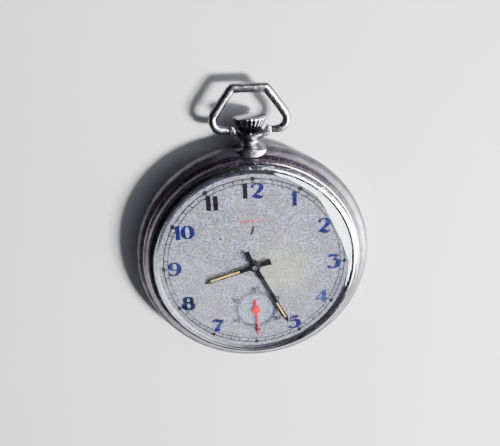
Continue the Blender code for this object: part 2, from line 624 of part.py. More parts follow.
def make_barrel():
    wall = turned([(8.3, 3.8), (8.62, 3.8), (8.62, 4.8), (8.3, 4.8)], BARREL, 24)
    teeth = gear_outline(BARREL_GEAR, BARREL, BARREL_PHASE)
    floor = plate(teeth, BARREL_FLOOR, 5.15, [circle(BARREL, 0.65, 16)])
    add("barrel_drum", joined(floor, wall), "brass", (*BARREL, 4.6))
    cover = plate(circle(BARREL, 8.2, 24), 3.82, 4.0, [circle(BARREL, 0.95, 16)])
    add("barrel_cover", cover, "brass", (*BARREL, 4.6))
    core_top = BARREL_FLOOR - GAP
    sections = [(0.7, 1.72, 2.66), (0.9, 2.66, 4.05), (2.0, 4.05, core_top), (0.6, core_top, 6.4)]
    add("barrel_arbor", stepped(sections, BARREL, 20, bore=(0.33, 2.4)), "steel", (*BARREL, 4.6))
    coil = spiral_band(BARREL, 2.25, 8.0, 4.5, 0, 0.09, 15)
    add("mainspring", plate(coil, 4.08, core_top), "blued_steel", (*BARREL, 4.6))
    ratchet = plate(gear_outline(RATCHET_GEAR, BARREL, 0.0), 1.7, 2.5, [circle(BARREL, 0.7 + FINE_GAP, 20)])
    add("ratchet_wheel", ratchet, "steel", (*BARREL, 2.1))
    add("ratchet_screw", stepped([(1.4, 1.3, 1.65), (0.3, 1.65, 2.2)], BARREL), "steel", (*BARREL, 2.1))
    teeth = gear_outline(CROWN_GEAR, CROWN_WHEEL, CROWN_WHEEL_PHASE)
    wheel = plate(teeth, 1.7, 2.5, [circle(CROWN_WHEEL, 1.0, 20)])
    add("crown_wheel", wheel, "steel", (*CROWN_WHEEL, 2.1))
    screw = stepped([(1.6, 1.3, 1.65), (0.95, 1.65, 2.65), (0.45, 2.65, 3.4)], CROWN_WHEEL)
    add("crown_wheel_screw", screw, "steel")
    click = plate(stadium(CLICK, CLICK_TIP, 0.95, 0.15, 6), 1.9, 2.5)
    stud = stepped([(0.35, 2.4, 3.3)], CLICK, 12)
    add("click", joined(click, stud), "steel", (*CLICK, 2.2))
    foot = (-12.4, 14.3)
    outline = arc(foot, 0.8, 150, 330, 6) + arc((-10.0, 12.4), 3.3, 105, 62, 5)
    outline += arc((-10.0, 12.4), 3.6, 62, 115, 5)
    add("click_spring", plate(outline, 2.0, 2.4), "blued_steel")


def add_wheel(name, gear, centre, phase, low, high, arbor_radius, finish="brass"):
    hole = circle(centre, arbor_radius + FINE_GAP, 12)
    add(name, plate(gear_outline(gear, centre, phase), low, high, [hole]), finish, (*centre, low))


def add_arbor(name, centre, sections, gear, phase, low, high):
    """A steel arbor with its pinion's leaves."""
    leaves = plate(gear_outline(gear, centre, phase, 4), low, high)
    add(name, joined(stepped(sections, centre, 12), leaves), "steel", (*centre, low))


def make_train():
    add_wheel("centre_wheel", CENTRE_GEAR, CENTRE, 0.0, 5.3, 5.55, 0.5)
    sections = [(0.25, 2.8, 3.64), (0.5, 3.64, 7.04), (0.32, 7.04, 9.5)]
    add_arbor("centre_arbor", CENTRE, sections, CENTRE_PINION, CENTRE_PINION_PHASE, 4.52, 5.2)
    add_wheel("third_wheel", THIRD_GEAR, THIRD, 0.0, 3.74, 3.94, 0.3)
    sections = [(0.12, 2.8, 3.64), (0.3, 3.64, 5.8), (0.12, 5.8, 6.3)]
    add_arbor("third_arbor", THIRD, sections, THIRD_PINION, THIRD_PINION_PHASE, 5.22, 5.62)
    add_wheel("fourth_wheel", FOURTH_GEAR, FOURTH, 0.0, 4.9, 5.15, 0.3)
    sections = [(0.12, 2.8, 3.65), (0.3, 3.65, 5.8), (0.15, 5.8, 9.15)]
    add_arbor("fourth_arbor", FOURTH, sections, FOURTH_PINION, FOURTH_PINION_PHASE, 3.66, 4.0)
    teeth = []
    for i in range(ESCAPE_TEETH):
        angle = LEVER_ANGLE + 2 * pi * (i + 0.5) / ESCAPE_TEETH
        teeth += [polar(ESCAPE, 2.0, angle - 0.12), polar(ESCAPE, ESCAPE_RADIUS, angle + 0.1)]
        teeth += [polar(ESCAPE, ESCAPE_RADIUS - 0.15, angle + 0.13), polar(ESCAPE, 2.0, angle + 0.04)]
    wheel = plate(teeth, 4.25, 4.5, [circle(ESCAPE, 0.22 + FINE_GAP, 12)])
    add("escape_wheel", wheel, "steel", (*ESCAPE, 4.4))
    sections = [(0.1, 3.75, 4.13), (0.22, 4.13, 5.8), (0.1, 5.8, 6.3)]
    add_arbor("escape_arbor", ESCAPE, sections, ESCAPE_PINION, ESCAPE_PINION_PHASE, 4.85, 5.2)


def make_escapement():
    """The lever's outline is drawn along +X from the pallet arbor, then turned towards the balance."""
    upper = [
        (3.7, 0.16), (3.72, 0.62), (3.3, 0.62), (2.9, 0.3), (0.9, 0.3), (0.35, 0.8), (-0.7, 1.85),
        (-1.15, 1.75), (-0.85, 1.3), (-0.45, 0.6),
    ]
    outline = [(3.3, 0.16)] + upper + [(x, -y) for x, y in upper[::-1]] + [(3.3, -0.16)]
    fork = plate(outline, 4.25, 4.5, [circle((0, 0), 0.27, 12)])
    add("pallet_fork", place_hand(fork, PALLET, LEVER_ANGLE), "steel", (*PALLET, 4.4))
    sections = [(0.1, 3.75, 4.13), (0.25, 4.13, 5.8), (0.1, 5.8, 6.3)]
    add("pallet_arbor", stepped(sections, PALLET, 12), "steel", (*PALLET, 4.4))

    windows = []
    for start in (12, 192):
        outer = arc((0, 0), BALANCE_RADIUS - 0.9, start, start + 156, 12)
        windows.append(outer + arc((0, 0), 1.6, start + 130, start + 26, 4))
    wheel = plate(circle((0, 0), BALANCE_RADIUS, 36), 2.9, 3.6, [circle((0, 0), 0.47, 12), *windows])
    add("balance_wheel", place_hand(wheel, BALANCE, 0), "brass", (*BALANCE, 3.2))
    sections = [(0.12, 1.25, 2.15), (0.3, 2.15, 2.86), (0.45, 2.86, 3.64)]
    sections += [(0.3, 3.64, 5.8), (0.12, 5.8, 6.4)]
    add("balance_staff", stepped(sections, BALANCE, 12), "steel", (*BALANCE, 3.2))
    roller = plate(circle(BALANCE, 1.0, 20), 3.75, 3.95, [circle(BALANCE, 0.3 + FINE_GAP, 12)])
    pin = stepped([(0.13, 3.8, 4.5)], polar(BALANCE, 0.75, LEVER_ANGLE + pi), 8)
    add("roller", joined(roller, pin), "steel", (*BALANCE, 3.8))
    stud_angle = direction(BALANCE, BALANCE_FOOT)
    coil = spiral_band(BALANCE, 0.6, 3.9, 6, stud_angle, 0.04, 14)
    add("hairspring", plate(coil, 2.3, 2.5), "blued_steel")
    add("hairspring_stud", stepped([(0.35, 2.13, 2.6)], polar(BALANCE, 4.35, stud_angle), 12), "steel")


def make_motion_work():
    pipe = turned([(0.35, 7.1), (0.5, 7.1), (0.5, 9.85), (0.35, 9.85)], segments=12)
    leaves = plate(gear_outline(CANNON_GEAR, CENTRE, 0.0, 4), 7.1, 7.7, [circle(CENTRE, 0.42, 12)])
    add("cannon_pinion", joined(pipe, leaves), "steel", (*CENTRE, 7.4))
    hole = circle(MINUTE_WHEEL, 0.35, 12)
    pinion = plate(gear_outline(MINUTE_PINION, MINUTE_WHEEL, 0.0, 4), 7.4, 8.05, [hole])
    wheel = plate(gear_outline(MINUTE_GEAR, MINUTE_WHEEL, MINUTE_PHASE), 7.4, 7.65, [hole])
    add("minute_wheel", joined(wheel, pinion), "brass", (*MINUTE_WHEEL, 7.5))
    pipe = turned([(0.55, 7.8), (0.85, 7.8), (0.85, 9.5), (0.55, 9.5)], segments=12)
    wheel = plate(gear_outline(HOUR_GEAR, CENTRE, HOUR_PHASE), 7.82, 8.05, [circle(CENTRE, 0.7, 12)])
    add("hour_wheel", joined(pipe, wheel), "brass", (*CENTRE, 7.9))
    add_wheel("setting_wheel", SETTING_GEAR, SETTING, SETTING_PHASE, 7.4, 7.65, 0.38, "steel")
    phase = INTERMEDIATE_PHASE
    add_wheel("intermediate_wheel", SETTING_GEAR, INTERMEDIATE, phase, 5.62, 7.65, 0.43, "steel")


def make_winding_works():
    stem_axis = (0, CROWN_LOW, BAND_HEIGHT)
    sections = [(0.4, 11.0, 12.7), (STEM_RADIUS, 12.7, 18.0), (0.35, 18.0, 18.6), (STEM_RADIUS, 18.6, 29.3)]
    add("winding_stem", lie_along_y(stepped(sections), BAND_HEIGHT), "steel", stem_axis)
    pinion = plate(gear_outline(WINDING_GEAR, (0, 0), 0.0, 4), 16.2, 17.0, [circle((0, 0), 0.63, 16)])
    add("winding_pinion", lie_along_y(pinion, BAND_HEIGHT), "steel", (0, 16.6, BAND_HEIGHT))
    sleeve = turned(
        [
            (0.63, 13.9), (0.95, 13.9), (0.95, 14.6), (0.7, 14.6),
            (0.7, 15.4), (0.95, 15.4), (0.95, 16.1), (0.63, 16.1),
        ],
        segments=16,
    )
    add("sliding_pinion", lie_along_y(sleeve, BAND_HEIGHT), "steel", (0, 15, BAND_HEIGHT))

    lever = plate(stadium(SETTING_LEVER, (0, 18.3), 1.0, 0.45, 8), 7.05, 7.35)
    pin = stepped([(0.2, 5.0, 7.2)], (0, 18.3), 8)
    add("setting_lever", joined(lever, pin), "steel", (*SETTING_LEVER, 7.2))
    yoke = plate(stadium(YOKE, (-0.1, 15.0), 0.9, 0.4, 8), 7.05, 7.35)
    finger = stepped([(0.2, 5.35, 7.2)], (-0.1, 15.0), 8)
    add("yoke", joined(yoke, finger), "steel", (*YOKE, 7.2))
    spring = stadium((-8.0, 11.8), (-3.2, 14.4), 0.8, 0.15, 8)
    add("yoke_spring", plate(spring, 7.05, 7.3), "blued_steel")


def main():
    for obj in list(bpy.data.objects):
        bpy.data.objects.remove(obj)
    make_case()
    make_crystal()
    make_pendant()
    make_bow()
    make_crown()
    make_dial()
    make_hands()
    make_plate_and_bridges()
    make_barrel()
    make_train()
    make_escapement()
    make_motion_work()
    make_winding_works()


main()
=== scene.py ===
"""Looks of the open-face pocket watch: case metal, domed glass, worn printed dial, hands and movement finishes.

Lengths in this script are millimetres unless a name says otherwise; MM turns them into Blender's metres.
Frame: +Z out of the dial, +Y to 12 o'clock, +X to 3 o'clock, origin at the centre of the back's rest face.
"""

import json
from math import asin, cos, degrees, hypot, pi, radians, sin

import bmesh
import bpy
from mathutils import Matrix, Vector


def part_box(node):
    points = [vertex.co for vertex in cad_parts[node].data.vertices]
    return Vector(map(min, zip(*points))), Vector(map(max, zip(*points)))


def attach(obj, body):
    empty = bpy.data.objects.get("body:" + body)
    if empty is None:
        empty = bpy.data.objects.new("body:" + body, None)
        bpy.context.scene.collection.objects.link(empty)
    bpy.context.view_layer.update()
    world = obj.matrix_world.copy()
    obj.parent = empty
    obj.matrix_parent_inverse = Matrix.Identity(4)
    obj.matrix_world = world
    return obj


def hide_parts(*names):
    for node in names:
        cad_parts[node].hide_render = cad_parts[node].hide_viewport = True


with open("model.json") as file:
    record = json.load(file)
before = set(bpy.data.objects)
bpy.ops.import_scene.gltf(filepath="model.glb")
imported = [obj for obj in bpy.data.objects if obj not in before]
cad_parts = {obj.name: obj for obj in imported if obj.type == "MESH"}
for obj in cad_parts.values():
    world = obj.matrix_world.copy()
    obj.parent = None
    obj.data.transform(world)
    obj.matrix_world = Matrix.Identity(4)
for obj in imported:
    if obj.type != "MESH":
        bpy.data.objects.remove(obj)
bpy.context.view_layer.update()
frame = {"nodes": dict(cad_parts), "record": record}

MM = 0.001


def box_mm(node):
    """Lowest and highest corners of a CAD node, in millimetres."""
    low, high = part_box(node)
    return [value / MM for value in low], [value / MM for value in high]


# ---- sizes read from the frame ----
CASE_RADIUS = box_mm("case_middle")[1][0]
BEZEL_RADIUS = box_mm("bezel")[1][0]
DIAL_TOP = box_mm("dial")[1][2]
CRYSTAL_TOP = box_mm("crystal")[1][2]
JOINT_AT = {joint["name"]: joint.get("pos_m") for joint in frame["record"]["behaviour"]["joints"]}
FOURTH = (JOINT_AT["seconds_hand_turn"][0] / MM, JOINT_AT["seconds_hand_turn"][1] / MM)
BOW_AXIS_Y = JOINT_AT["bow_swing"][1] / MM
BAND_HEIGHT = JOINT_AT["bow_swing"][2] / MM

# ---- sizes that the frame doesn't state ----
OPENING = 20.9           # radius of the bezel's opening over the dial
FINE = 256               # segments round the case's big rings
MILLING_TEETH = 250
MILLING_DEPTH = 0.16
FLUTES = 22
FLUTE_DEPTH = 0.26
SINK = 3.8               # radius of the sunk seconds dial
SINK_DEPTH = 0.12
PRINT_FOOT = DIAL_TOP - 0.03    # print starts inside the dial, so none of it floats
PRINT_TOP = DIAL_TOP + 0.02
NUMERAL_HEIGHT = 3.1
NUMERAL_RADIUS = 16.75
TRACK_OUTER, TRACK_INNER = 19.1, 18.2    # the two rings of the minute track

# ---- the time shown ----
MINUTE_SHARE = 25.49 / 60
HOUR_SHARE = (8 + MINUTE_SHARE) / 12
SECOND_SHARE = 0.49


# ================= geometry =================

def clock_angle(share):
    """The angle from +X of a hand that has gone this share of its turn from 12."""
    return pi / 2 - 2 * pi * share


def polar(centre, radius, angle):
    return (centre[0] + radius * cos(angle), centre[1] + radius * sin(angle))


def piece_from(bm, name, material, body, replaced=(), smooth_angle=40):
    """A shown piece from a bmesh in millimetres, riding on its body."""
    bmesh.ops.scale(bm, verts=bm.verts[:], vec=(MM, MM, MM))
    mesh = bpy.data.meshes.new(name)
    bm.to_mesh(mesh)
    bm.free()
    mesh.shade_smooth()
    mesh.set_sharp_from_angle(angle=radians(smooth_angle))
    obj = bpy.data.objects.new(name, mesh)
    bpy.context.scene.collection.objects.link(obj)
    for each in material if isinstance(material, (list, tuple)) else [material]:
        mesh.materials.append(each)
    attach(obj, body)
    if replaced:
        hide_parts(*replaced)
    return obj


def rounded(profile, radius, steps=4):
    """The closed profile with each corner that is given a rounding turned into a small arc."""
    result = []
    count = len(profile)
    for i, point in enumerate(profile):
        here = Vector(point[:2])
        size = point[2] if len(point) > 2 else radius
        before = Vector(profile[i - 1][:2]) - here
        after = Vector(profile[(i + 1) % count][:2]) - here
        reach = min(size, before.length * 0.45, after.length * 0.45)
        if reach < 1e-3 or here.x == 0:
            result.append((here.x, here.y))
            continue
        start = here + before.normalized() * reach
        end = here + after.normalized() * reach
        for k in range(steps + 1):
            share = k / steps
            curve = start * (1 - share) ** 2 + here * 2 * share * (1 - share) + end * share**2
            result.append((curve.x, curve.y))
    return result


def lathe(profile, segments=FINE, radius_at=None, closed=True):
    """Rings of (radius, height) points about +Z. radius_at(ring, angle, radius) may shape each ring."""
    bm = bmesh.new()
    rings = []
    for index, (radius, height) in enumerate(profile):
        if radius == 0:
            rings.append([bm.verts.new((0, 0, height))])
            continue
        ring = []
        for i in range(segments):
            angle = 2 * pi * i / segments
            here = radius_at(index, angle, radius) if radius_at else radius
            ring.append(bm.verts.new((here * cos(angle), here * sin(angle), height)))
        rings.append(ring)
    pairs = list(zip(rings, rings[1:]))
    if closed and profile[0][0] != 0:
        pairs.append((rings[-1], rings[0]))
    for ring, following in pairs:
        for i in range(segments):
            after = (i + 1) % segments
            corners = [ring[i % len(ring)], ring[after % len(ring)]]
            corners += [following[after % len(following)], following[i % len(following)]]
            corners = list(dict.fromkeys(corners))
            if len(corners) > 2:
                bm.faces.new(corners)
    bmesh.ops.recalc_face_normals(bm, faces=bm.faces[:])
    return bm


def move(bm, offset):
    bmesh.ops.translate(bm, verts=bm.verts[:], vec=offset)
    return bm


def turn(bm, angle, axis="Z"):
    bmesh.ops.rotate(bm, verts=bm.verts[:], cent=(0, 0, 0), matrix=Matrix.Rotation(angle, 3, axis))
    return bm


def lie_along_y(bm):
    return move(turn(bm, -pi / 2, "X"), (0, 0, BAND_HEIGHT))


def slab(bm, outline, low, high, index=0):
    """An upright-sided prism over a convex outline, added to bm."""
    bottom = [bm.verts.new((x, y, low)) for x, y in outline]
    top = [bm.verts.new((x, y, high)) for x, y in outline]
    faces = [bm.faces.new(bottom[::-1]), bm.faces.new(top)]
    count = len(outline)
    for i in range(count):
        after = (i + 1) % count
        faces.append(bm.faces.new((bottom[i], bottom[after], top[after], top[i])))
    for face in faces:
        face.material_index = index
    return faces


def ribbon(bm, left, right, low, high, index=0):
    """A closed strip between two matching edge lines."""
    rows = []
    for (ax, ay), (bx, by) in zip(left, right):
        rows.append([bm.verts.new(p) for p in ((ax, ay, low), (bx, by, low), (bx, by, high), (ax, ay, high))])
    faces = []
    for row, following in zip(rows, rows[1:]):
        for k in range(4):
            after = (k + 1) % 4
            faces.append(bm.faces.new((row[k], row[after], following[after], following[k])))
    faces += [bm.faces.new(rows[0]), bm.faces.new(rows[-1])]
    for face in faces:
        face.material_index = index


def ring_band(bm, centre, inner, outer, low, high, segments=180, index=0):
    """A flat ring with square edges."""
    rows = []
    for i in range(segments):
        angle = 2 * pi * i / segments
        a, b = polar(centre, inner, angle), polar(centre, outer, angle)
        rows.append([bm.verts.new(p) for p in ((*a, low), (*b, low), (*b, high), (*a, high))])
    for i in range(segments):
        row, following = rows[i], rows[(i + 1) % segments]
        for k in range(4):
            after = (k + 1) % 4
            bm.faces.new((row[k], row[after], following[after], following[k])).material_index = index


# ================= materials =================

class Nodes:
    """A short way to write a material's node tree."""

    def __init__(self, name):
        self.material = bpy.data.materials.new(name)
        self.material.use_nodes = True
        self.tree = self.material.node_tree
        self.shader = self.tree.nodes["Principled BSDF"]
        self.output = self.tree.nodes["Material Output"]
        self.place = self.add("ShaderNodeTexCoord").outputs["Object"]

    def add(self, kind, **settings):
        node = self.tree.nodes.new(kind)
        for key, value in settings.items():
            setattr(node, key, value)
        return node

    def link(self, source, target):
        self.tree.links.new(source, target)

    def stretched(self, scale, rotation=(0, 0, 0)):
        mapping = self.add("ShaderNodeMapping")
        mapping.inputs["Scale"].default_value = scale
        mapping.inputs["Rotation"].default_value = rotation
        self.link(self.place, mapping.inputs["Vector"])
        return mapping.outputs["Vector"]

    def noise(self, per_mm, detail=3.0, rough=0.55, vector=None, distortion=0.0):
        node = self.add("ShaderNodeTexNoise")
        node.inputs["Scale"].default_value = per_mm / MM
        node.inputs["Detail"].default_value = detail
        node.inputs["Roughness"].default_value = rough
        node.inputs["Distortion"].default_value = distortion
        self.link(vector or self.place, node.inputs["Vector"])
        return node.outputs["Fac"]

    def ramp(self, source, stops, smooth=False):
        node = self.add("ShaderNodeValToRGB")
        node.color_ramp.interpolation = "EASE" if smooth else "LINEAR"
        elements = node.color_ramp.elements
        while len(elements) < len(stops):
            elements.new(0.5)
        for element, (position, colour) in zip(elements, stops):
            element.position = position
            element.color = (*colour, 1) if isinstance(colour, tuple) else (colour, colour, colour, 1)
        self.link(source, node.inputs["Fac"])
        return node.outputs["Color"]

    def mix(self, share, first, second, blend="MIX"):
        node = self.add("ShaderNodeMix", data_type="RGBA", blend_type=blend)
        for name, value in (("Factor", share), ("A", first), ("B", second)):
            socket = node.inputs[name]
            if hasattr(value, "is_linked"):
                self.link(value, socket)
            else:
                socket.default_value = (*value, 1) if isinstance(value, tuple) else value
        return node.outputs["Result"]

    def math(self, operation, first, second=0.0):
        node = self.add("ShaderNodeMath", operation=operation)
        for socket, value in zip(node.inputs, (first, second)):
            if hasattr(value, "is_linked"):
                self.link(value, socket)
            else:
                socket.default_value = value
        return node.outputs[0]

    def span(self, source, low, high):
        """A 0 to 1 value spread between two numbers."""
        node = self.add("ShaderNodeMapRange")
        node.inputs["To Min"].default_value = low
        node.inputs["To Max"].default_value = high
        self.link(source, node.inputs["Value"])
        return node.outputs["Result"]

    def set(self, **values):
        for key, value in values.items():
            socket = self.shader.inputs[key.replace("_", " ")]
            if hasattr(value, "is_linked"):
                self.link(value, socket)
            else:
                socket.default_value = (*value, 1) if isinstance(value, tuple) else value

    def bump(self, height, distance_mm, strength=1.0):
        node = self.add("ShaderNodeBump")
        node.inputs["Distance"].default_value = distance_mm * MM
        node.inputs["Strength"].default_value = strength
        self.link(height, node.inputs["Height"])
        self.link(node.outputs["Normal"], self.shader.inputs["Normal"])


def scratches(nodes, per_mm=0.6):
    """Fine straight wear marks in two directions, white on black."""
    first = nodes.noise(per_mm, 2, 0.5, nodes.stretched((1, 14, 3), (0, 0, 0.5)))
    second = nodes.noise(per_mm, 2, 0.5, nodes.stretched((16, 1, 3), (0, 0, -0.3)))
    lines = [nodes.ramp(each, [(0.64, 0.0), (0.67, 1.0), (0.70, 0.0)]) for each in (first, second)]
    return nodes.math("MAXIMUM", lines[0], lines[1])


def worn_nickel(name, colour, dull, rough_low, rough_high, scratch_depth=0.004, grain=0.0):
    """Nickel plate: cloudy tarnish, handling scratches and, on the band, a grain that frosts the surface."""
    nodes = Nodes(name)
    cloud = nodes.noise(0.35, 4, 0.6)
    specks = nodes.ramp(nodes.noise(2.2, 4, 0.65), [(0.62, 0.0), (0.72, 1.0)])
    base = nodes.mix(nodes.ramp(cloud, [(0.35, 0.0), (0.7, 1.0)]), colour, dull)
    base = nodes.mix(nodes.math("MULTIPLY", specks, 0.45), base, tuple(value * 0.45 for value in dull))
    marks = scratches(nodes)
    rough = nodes.span(cloud, rough_low, rough_high)
    rough = nodes.math("ADD", rough, nodes.math("MULTIPLY", marks, 0.12))
    nodes.set(Base_Color=base, Metallic=1.0, Roughness=rough)
    height = nodes.math("MULTIPLY", marks, -1.0)
    if grain:
        height = nodes.math("ADD", height, nodes.math("MULTIPLY", nodes.noise(6.0, 3, 0.7), grain))
    nodes.bump(height, scratch_depth)
    return nodes.material


def dial_silver():
    """Aged silvering: pale grey with brown-grey speckle, a greenish stain and dark pinholes."""
    nodes = Nodes("dial_silver")
    fine = nodes.noise(2.1, 5, 0.8)
    coarse = nodes.noise(0.16, 4, 0.6)
    mottle = nodes.noise(0.55, 5, 0.75)
    speckle = [(0.36, (0.030, 0.027, 0.032)), (0.46, (0.092, 0.088, 0.106)), (0.57, (0.198, 0.200, 0.250))]
    base = nodes.ramp(fine, speckle)
    brown = nodes.ramp(mottle, [(0.42, 0.0), (0.60, 1.0)])
    base = nodes.mix(nodes.span(brown, 0.0, 0.55), base, (0.085, 0.072, 0.064))
    clouds = nodes.ramp(coarse, [(0.42, 0.0), (0.66, 1.0)])
    base = nodes.mix(nodes.span(clouds, 0.0, 0.35), base, (0.115, 0.10, 0.085))
    spread = nodes.add("ShaderNodeVectorMath", operation="DISTANCE")
    nodes.link(nodes.place, spread.inputs[0])
    spread.inputs[1].default_value = (5.5 * MM, -1.5 * MM, DIAL_TOP * MM)
    far = nodes.math("ADD", spread.outputs["Value"], nodes.math("MULTIPLY", nodes.noise(0.25, 3), 0.006))
    stain = nodes.ramp(nodes.math("MULTIPLY", far, 1 / (12 * MM)), [(0.45, 1.0), (1.0, 0.0)], smooth=True)
    base = nodes.mix(nodes.math("MULTIPLY", stain, 0.38), base, (0.19, 0.19, 0.10))
    holes = nodes.ramp(nodes.noise(1.1, 2, 0.5), [(0.73, 0.0), (0.77, 1.0)])
    base = nodes.mix(nodes.math("MULTIPLY", holes, 0.7), base, (0.13, 0.10, 0.09))
    nodes.set(Base_Color=base, Roughness=nodes.span(fine, 0.72, 0.5), Specular_IOR_Level=0.0)
    nodes.bump(fine, 0.012)
    return nodes.material


def ink(name, colour, deep, gaps=0.0):
    """Printed or brushed ink with uneven density and, where gaps is over 0, worn-off flecks of dial."""
    nodes = Nodes(name)
    base = nodes.mix(nodes.ramp(nodes.noise(1.6, 4, 0.65), [(0.35, 0.0), (0.65, 1.0)]), colour, deep)
    if gaps:
        worn = nodes.ramp(nodes.noise(3.0, 4, 0.7), [(0.62 - gaps, 0.0), (0.70 - gaps, 1.0)])
        base = nodes.mix(nodes.math("MULTIPLY", worn, 0.75), base, (0.17, 0.168, 0.18))
    nodes.set(Base_Color=base, Roughness=nodes.span(nodes.noise(2.0), 0.5, 0.75), Specular_IOR_Level=0.0)
    nodes.bump(nodes.noise(4.0), 0.006)
    return nodes.material


def watch_glass():
    """Clear domed glass that lets lamps through, with faint smears and fine scratches."""
    nodes = Nodes("watch_glass")
    marks = scratches(nodes, 0.25)
    smear = nodes.noise(0.12, 4, 0.6, nodes.stretched((1, 2.5, 1), (0, 0, 0.6)))
    rough = nodes.math("ADD", nodes.span(smear, 0.0, 0.03), nodes.math("MULTIPLY", marks, 0.04))
    nodes.set(Base_Color=(0.97, 0.985, 1.0), Roughness=rough, Transmission_Weight=1.0, IOR=1.49)
    path = nodes.add("ShaderNodeLightPath")
    clear = nodes.add("ShaderNodeBsdfTransparent")
    clear.inputs["Color"].default_value = (0.93, 0.95, 0.96, 1)
    mixer = nodes.add("ShaderNodeMixShader")
    nodes.link(path.outputs["Is Shadow Ray"], mixer.inputs["Fac"])
    nodes.link(nodes.shader.outputs["BSDF"], mixer.inputs[1])
    nodes.link(clear.outputs["BSDF"], mixer.inputs[2])
    nodes.link(mixer.outputs["Shader"], nodes.output.inputs["Surface"])
    return nodes.material


def glass_edge():
    """The glass's ground foot, whitish and translucent."""
    nodes = Nodes("glass_edge")
    base = nodes.mix(nodes.noise(1.5, 4), (0.86, 0.90, 0.95), (0.62, 0.66, 0.72))
    nodes.set(Base_Color=base, Roughness=nodes.span(nodes.noise(3.0), 0.15, 0.4), Subsurface_Weight=0.3)
    nodes.shader.inputs["Subsurface Scale"].default_value = 0.4 * MM
    return nodes.material


def lacquer(name, colour, worn, amount):
    """Hand paint that has rubbed through to bright metal here and there."""
    nodes = Nodes(name)
    rub = nodes.ramp(nodes.noise(2.4, 4, 0.7), [(0.70 - amount, 0.0), (0.76 - amount, 1.0)])
    nodes.set(
        Base_Color=nodes.mix(rub, colour, worn),
        Metallic=nodes.math("MULTIPLY", rub, 0.7),
        Roughness=nodes.span(nodes.noise(1.5), 0.22, 0.42),
        Specular_IOR_Level=0.12,
    )
    nodes.bump(nodes.noise(3.0), 0.006)
    return nodes.material


def lume_paste():
    """Aged luminous paste, yellow to brown and grainy."""
    nodes = Nodes("lume_paste")
    yellows = [(0.35, (0.09, 0.055, 0.01)), (0.5, (0.30, 0.21, 0.045)), (0.66, (0.46, 0.37, 0.13))]
    base = nodes.ramp(nodes.noise(3.5, 5, 0.7), yellows)
    nodes.set(Base_Color=base, Roughness=nodes.span(nodes.noise(4.0), 0.7, 0.95), Specular_IOR_Level=0.0)
    nodes.bump(nodes.noise(8.0, 4, 0.7), 0.03)
    return nodes.material


def movement_metal(name, colour, deep, rough_low, rough_high, striped=False):
    """Turned or striped movement parts with fine graining."""
    nodes = Nodes(name)
    grain = nodes.noise(1.2, 3, 0.6, nodes.stretched((1, 20, 20) if striped else (6, 6, 1), (0, 0, 0.7)))
    base = nodes.mix(nodes.ramp(grain, [(0.3, 0.0), (0.7, 1.0)]), colour, deep)
    nodes.set(Base_Color=base, Metallic=1.0, Roughness=nodes.span(nodes.noise(0.8), rough_low, rough_high))
    height = grain
    if striped:
        wave = nodes.add("ShaderNodeTexWave", wave_type="BANDS", bands_direction="DIAGONAL")
        wave.inputs["Scale"].default_value = 0.16 / MM
        nodes.link(nodes.place, wave.inputs["Vector"])
        height = nodes.math("ADD", wave.outputs["Fac"], nodes.math("MULTIPLY", grain, 0.3))
    nodes.bump(height, 0.01, 0.6)
    return nodes.material


# ================= more shape tools =================

def as_bmesh(obj):
    """Reads an object's evaluated mesh into a bmesh and removes the object."""
    mesh = bpy.data.meshes.new_from_object(obj.evaluated_get(bpy.context.evaluated_depsgraph_get()))
    bm = bmesh.new()
    bm.from_mesh(mesh)
    bpy.data.meshes.remove(mesh)
    bpy.data.objects.remove(obj)
    return bm


def temporary(bm, name="working"):
    mesh = bpy.data.meshes.new(name)
    bm.to_mesh(mesh)
    bm.free()
    obj = bpy.data.objects.new(name, mesh)
    bpy.context.scene.collection.objects.link(obj)
    return obj


def combined(base, others, operation):
    """Exact Boolean of bmeshes, kept at 1 unit to the millimetre."""
    target = temporary(base)
    tools = [temporary(other, "tool") for other in others]
    for tool in tools:
        modifier = target.modifiers.new("boolean", "BOOLEAN")
        modifier.object = tool
        modifier.operation = operation
        modifier.solver = "EXACT"
    bpy.context.view_layer.update()
    result = as_bmesh(target)
    for tool in tools:
        bpy.data.objects.remove(tool)
    return result


def cut_out(outlines, low, high, bevel=0.0, steps=2):
    """A flat shape of closed outlines, holes included, with rounded or chamfered edges."""
    curve = bpy.data.curves.new("outline", "CURVE")
    curve.dimensions = "2D"
    curve.fill_mode = "BOTH"
    curve.extrude = (high - low) / 2 - bevel
    curve.bevel_depth = bevel
    curve.bevel_resolution = steps
    curve.offset = -bevel
    for outline in outlines:
        spline = curve.splines.new("POLY")
        spline.points.add(len(outline) - 1)
        for point, (x, y) in zip(spline.points, outline):
            point.co = (x, y, 0, 1)
        spline.use_cyclic_u = True
    obj = bpy.data.objects.new("outline", curve)
    bpy.context.scene.collection.objects.link(obj)
    bpy.context.view_layer.update()
    bm = as_bmesh(obj)
    bmesh.ops.remove_doubles(bm, verts=bm.verts[:], dist=1e-4)
    bmesh.ops.recalc_face_normals(bm, faces=bm.faces[:])
    return move(bm, (0, 0, (low + high) / 2))


def smooth_path(points, steps=6):
    """A smooth curve through points of any number of values each."""
    result = []
    for i in range(len(points) - 1):
        rows = [Vector(points[max(0, min(len(points) - 1, k))]) for k in (i - 1, i, i + 1, i + 2)]
        for k in range(steps):
            t = k / steps
            value = (
                rows[1] * 2
                + (rows[2] - rows[0]) * t
                + (rows[0] * 2 - rows[1] * 5 + rows[2] * 4 - rows[3]) * t**2
                + (rows[1] * 3 - rows[0] - rows[2] * 3 + rows[3]) * t**3
            ) / 2
            result.append(tuple(value))
    return result + [tuple(points[-1])]


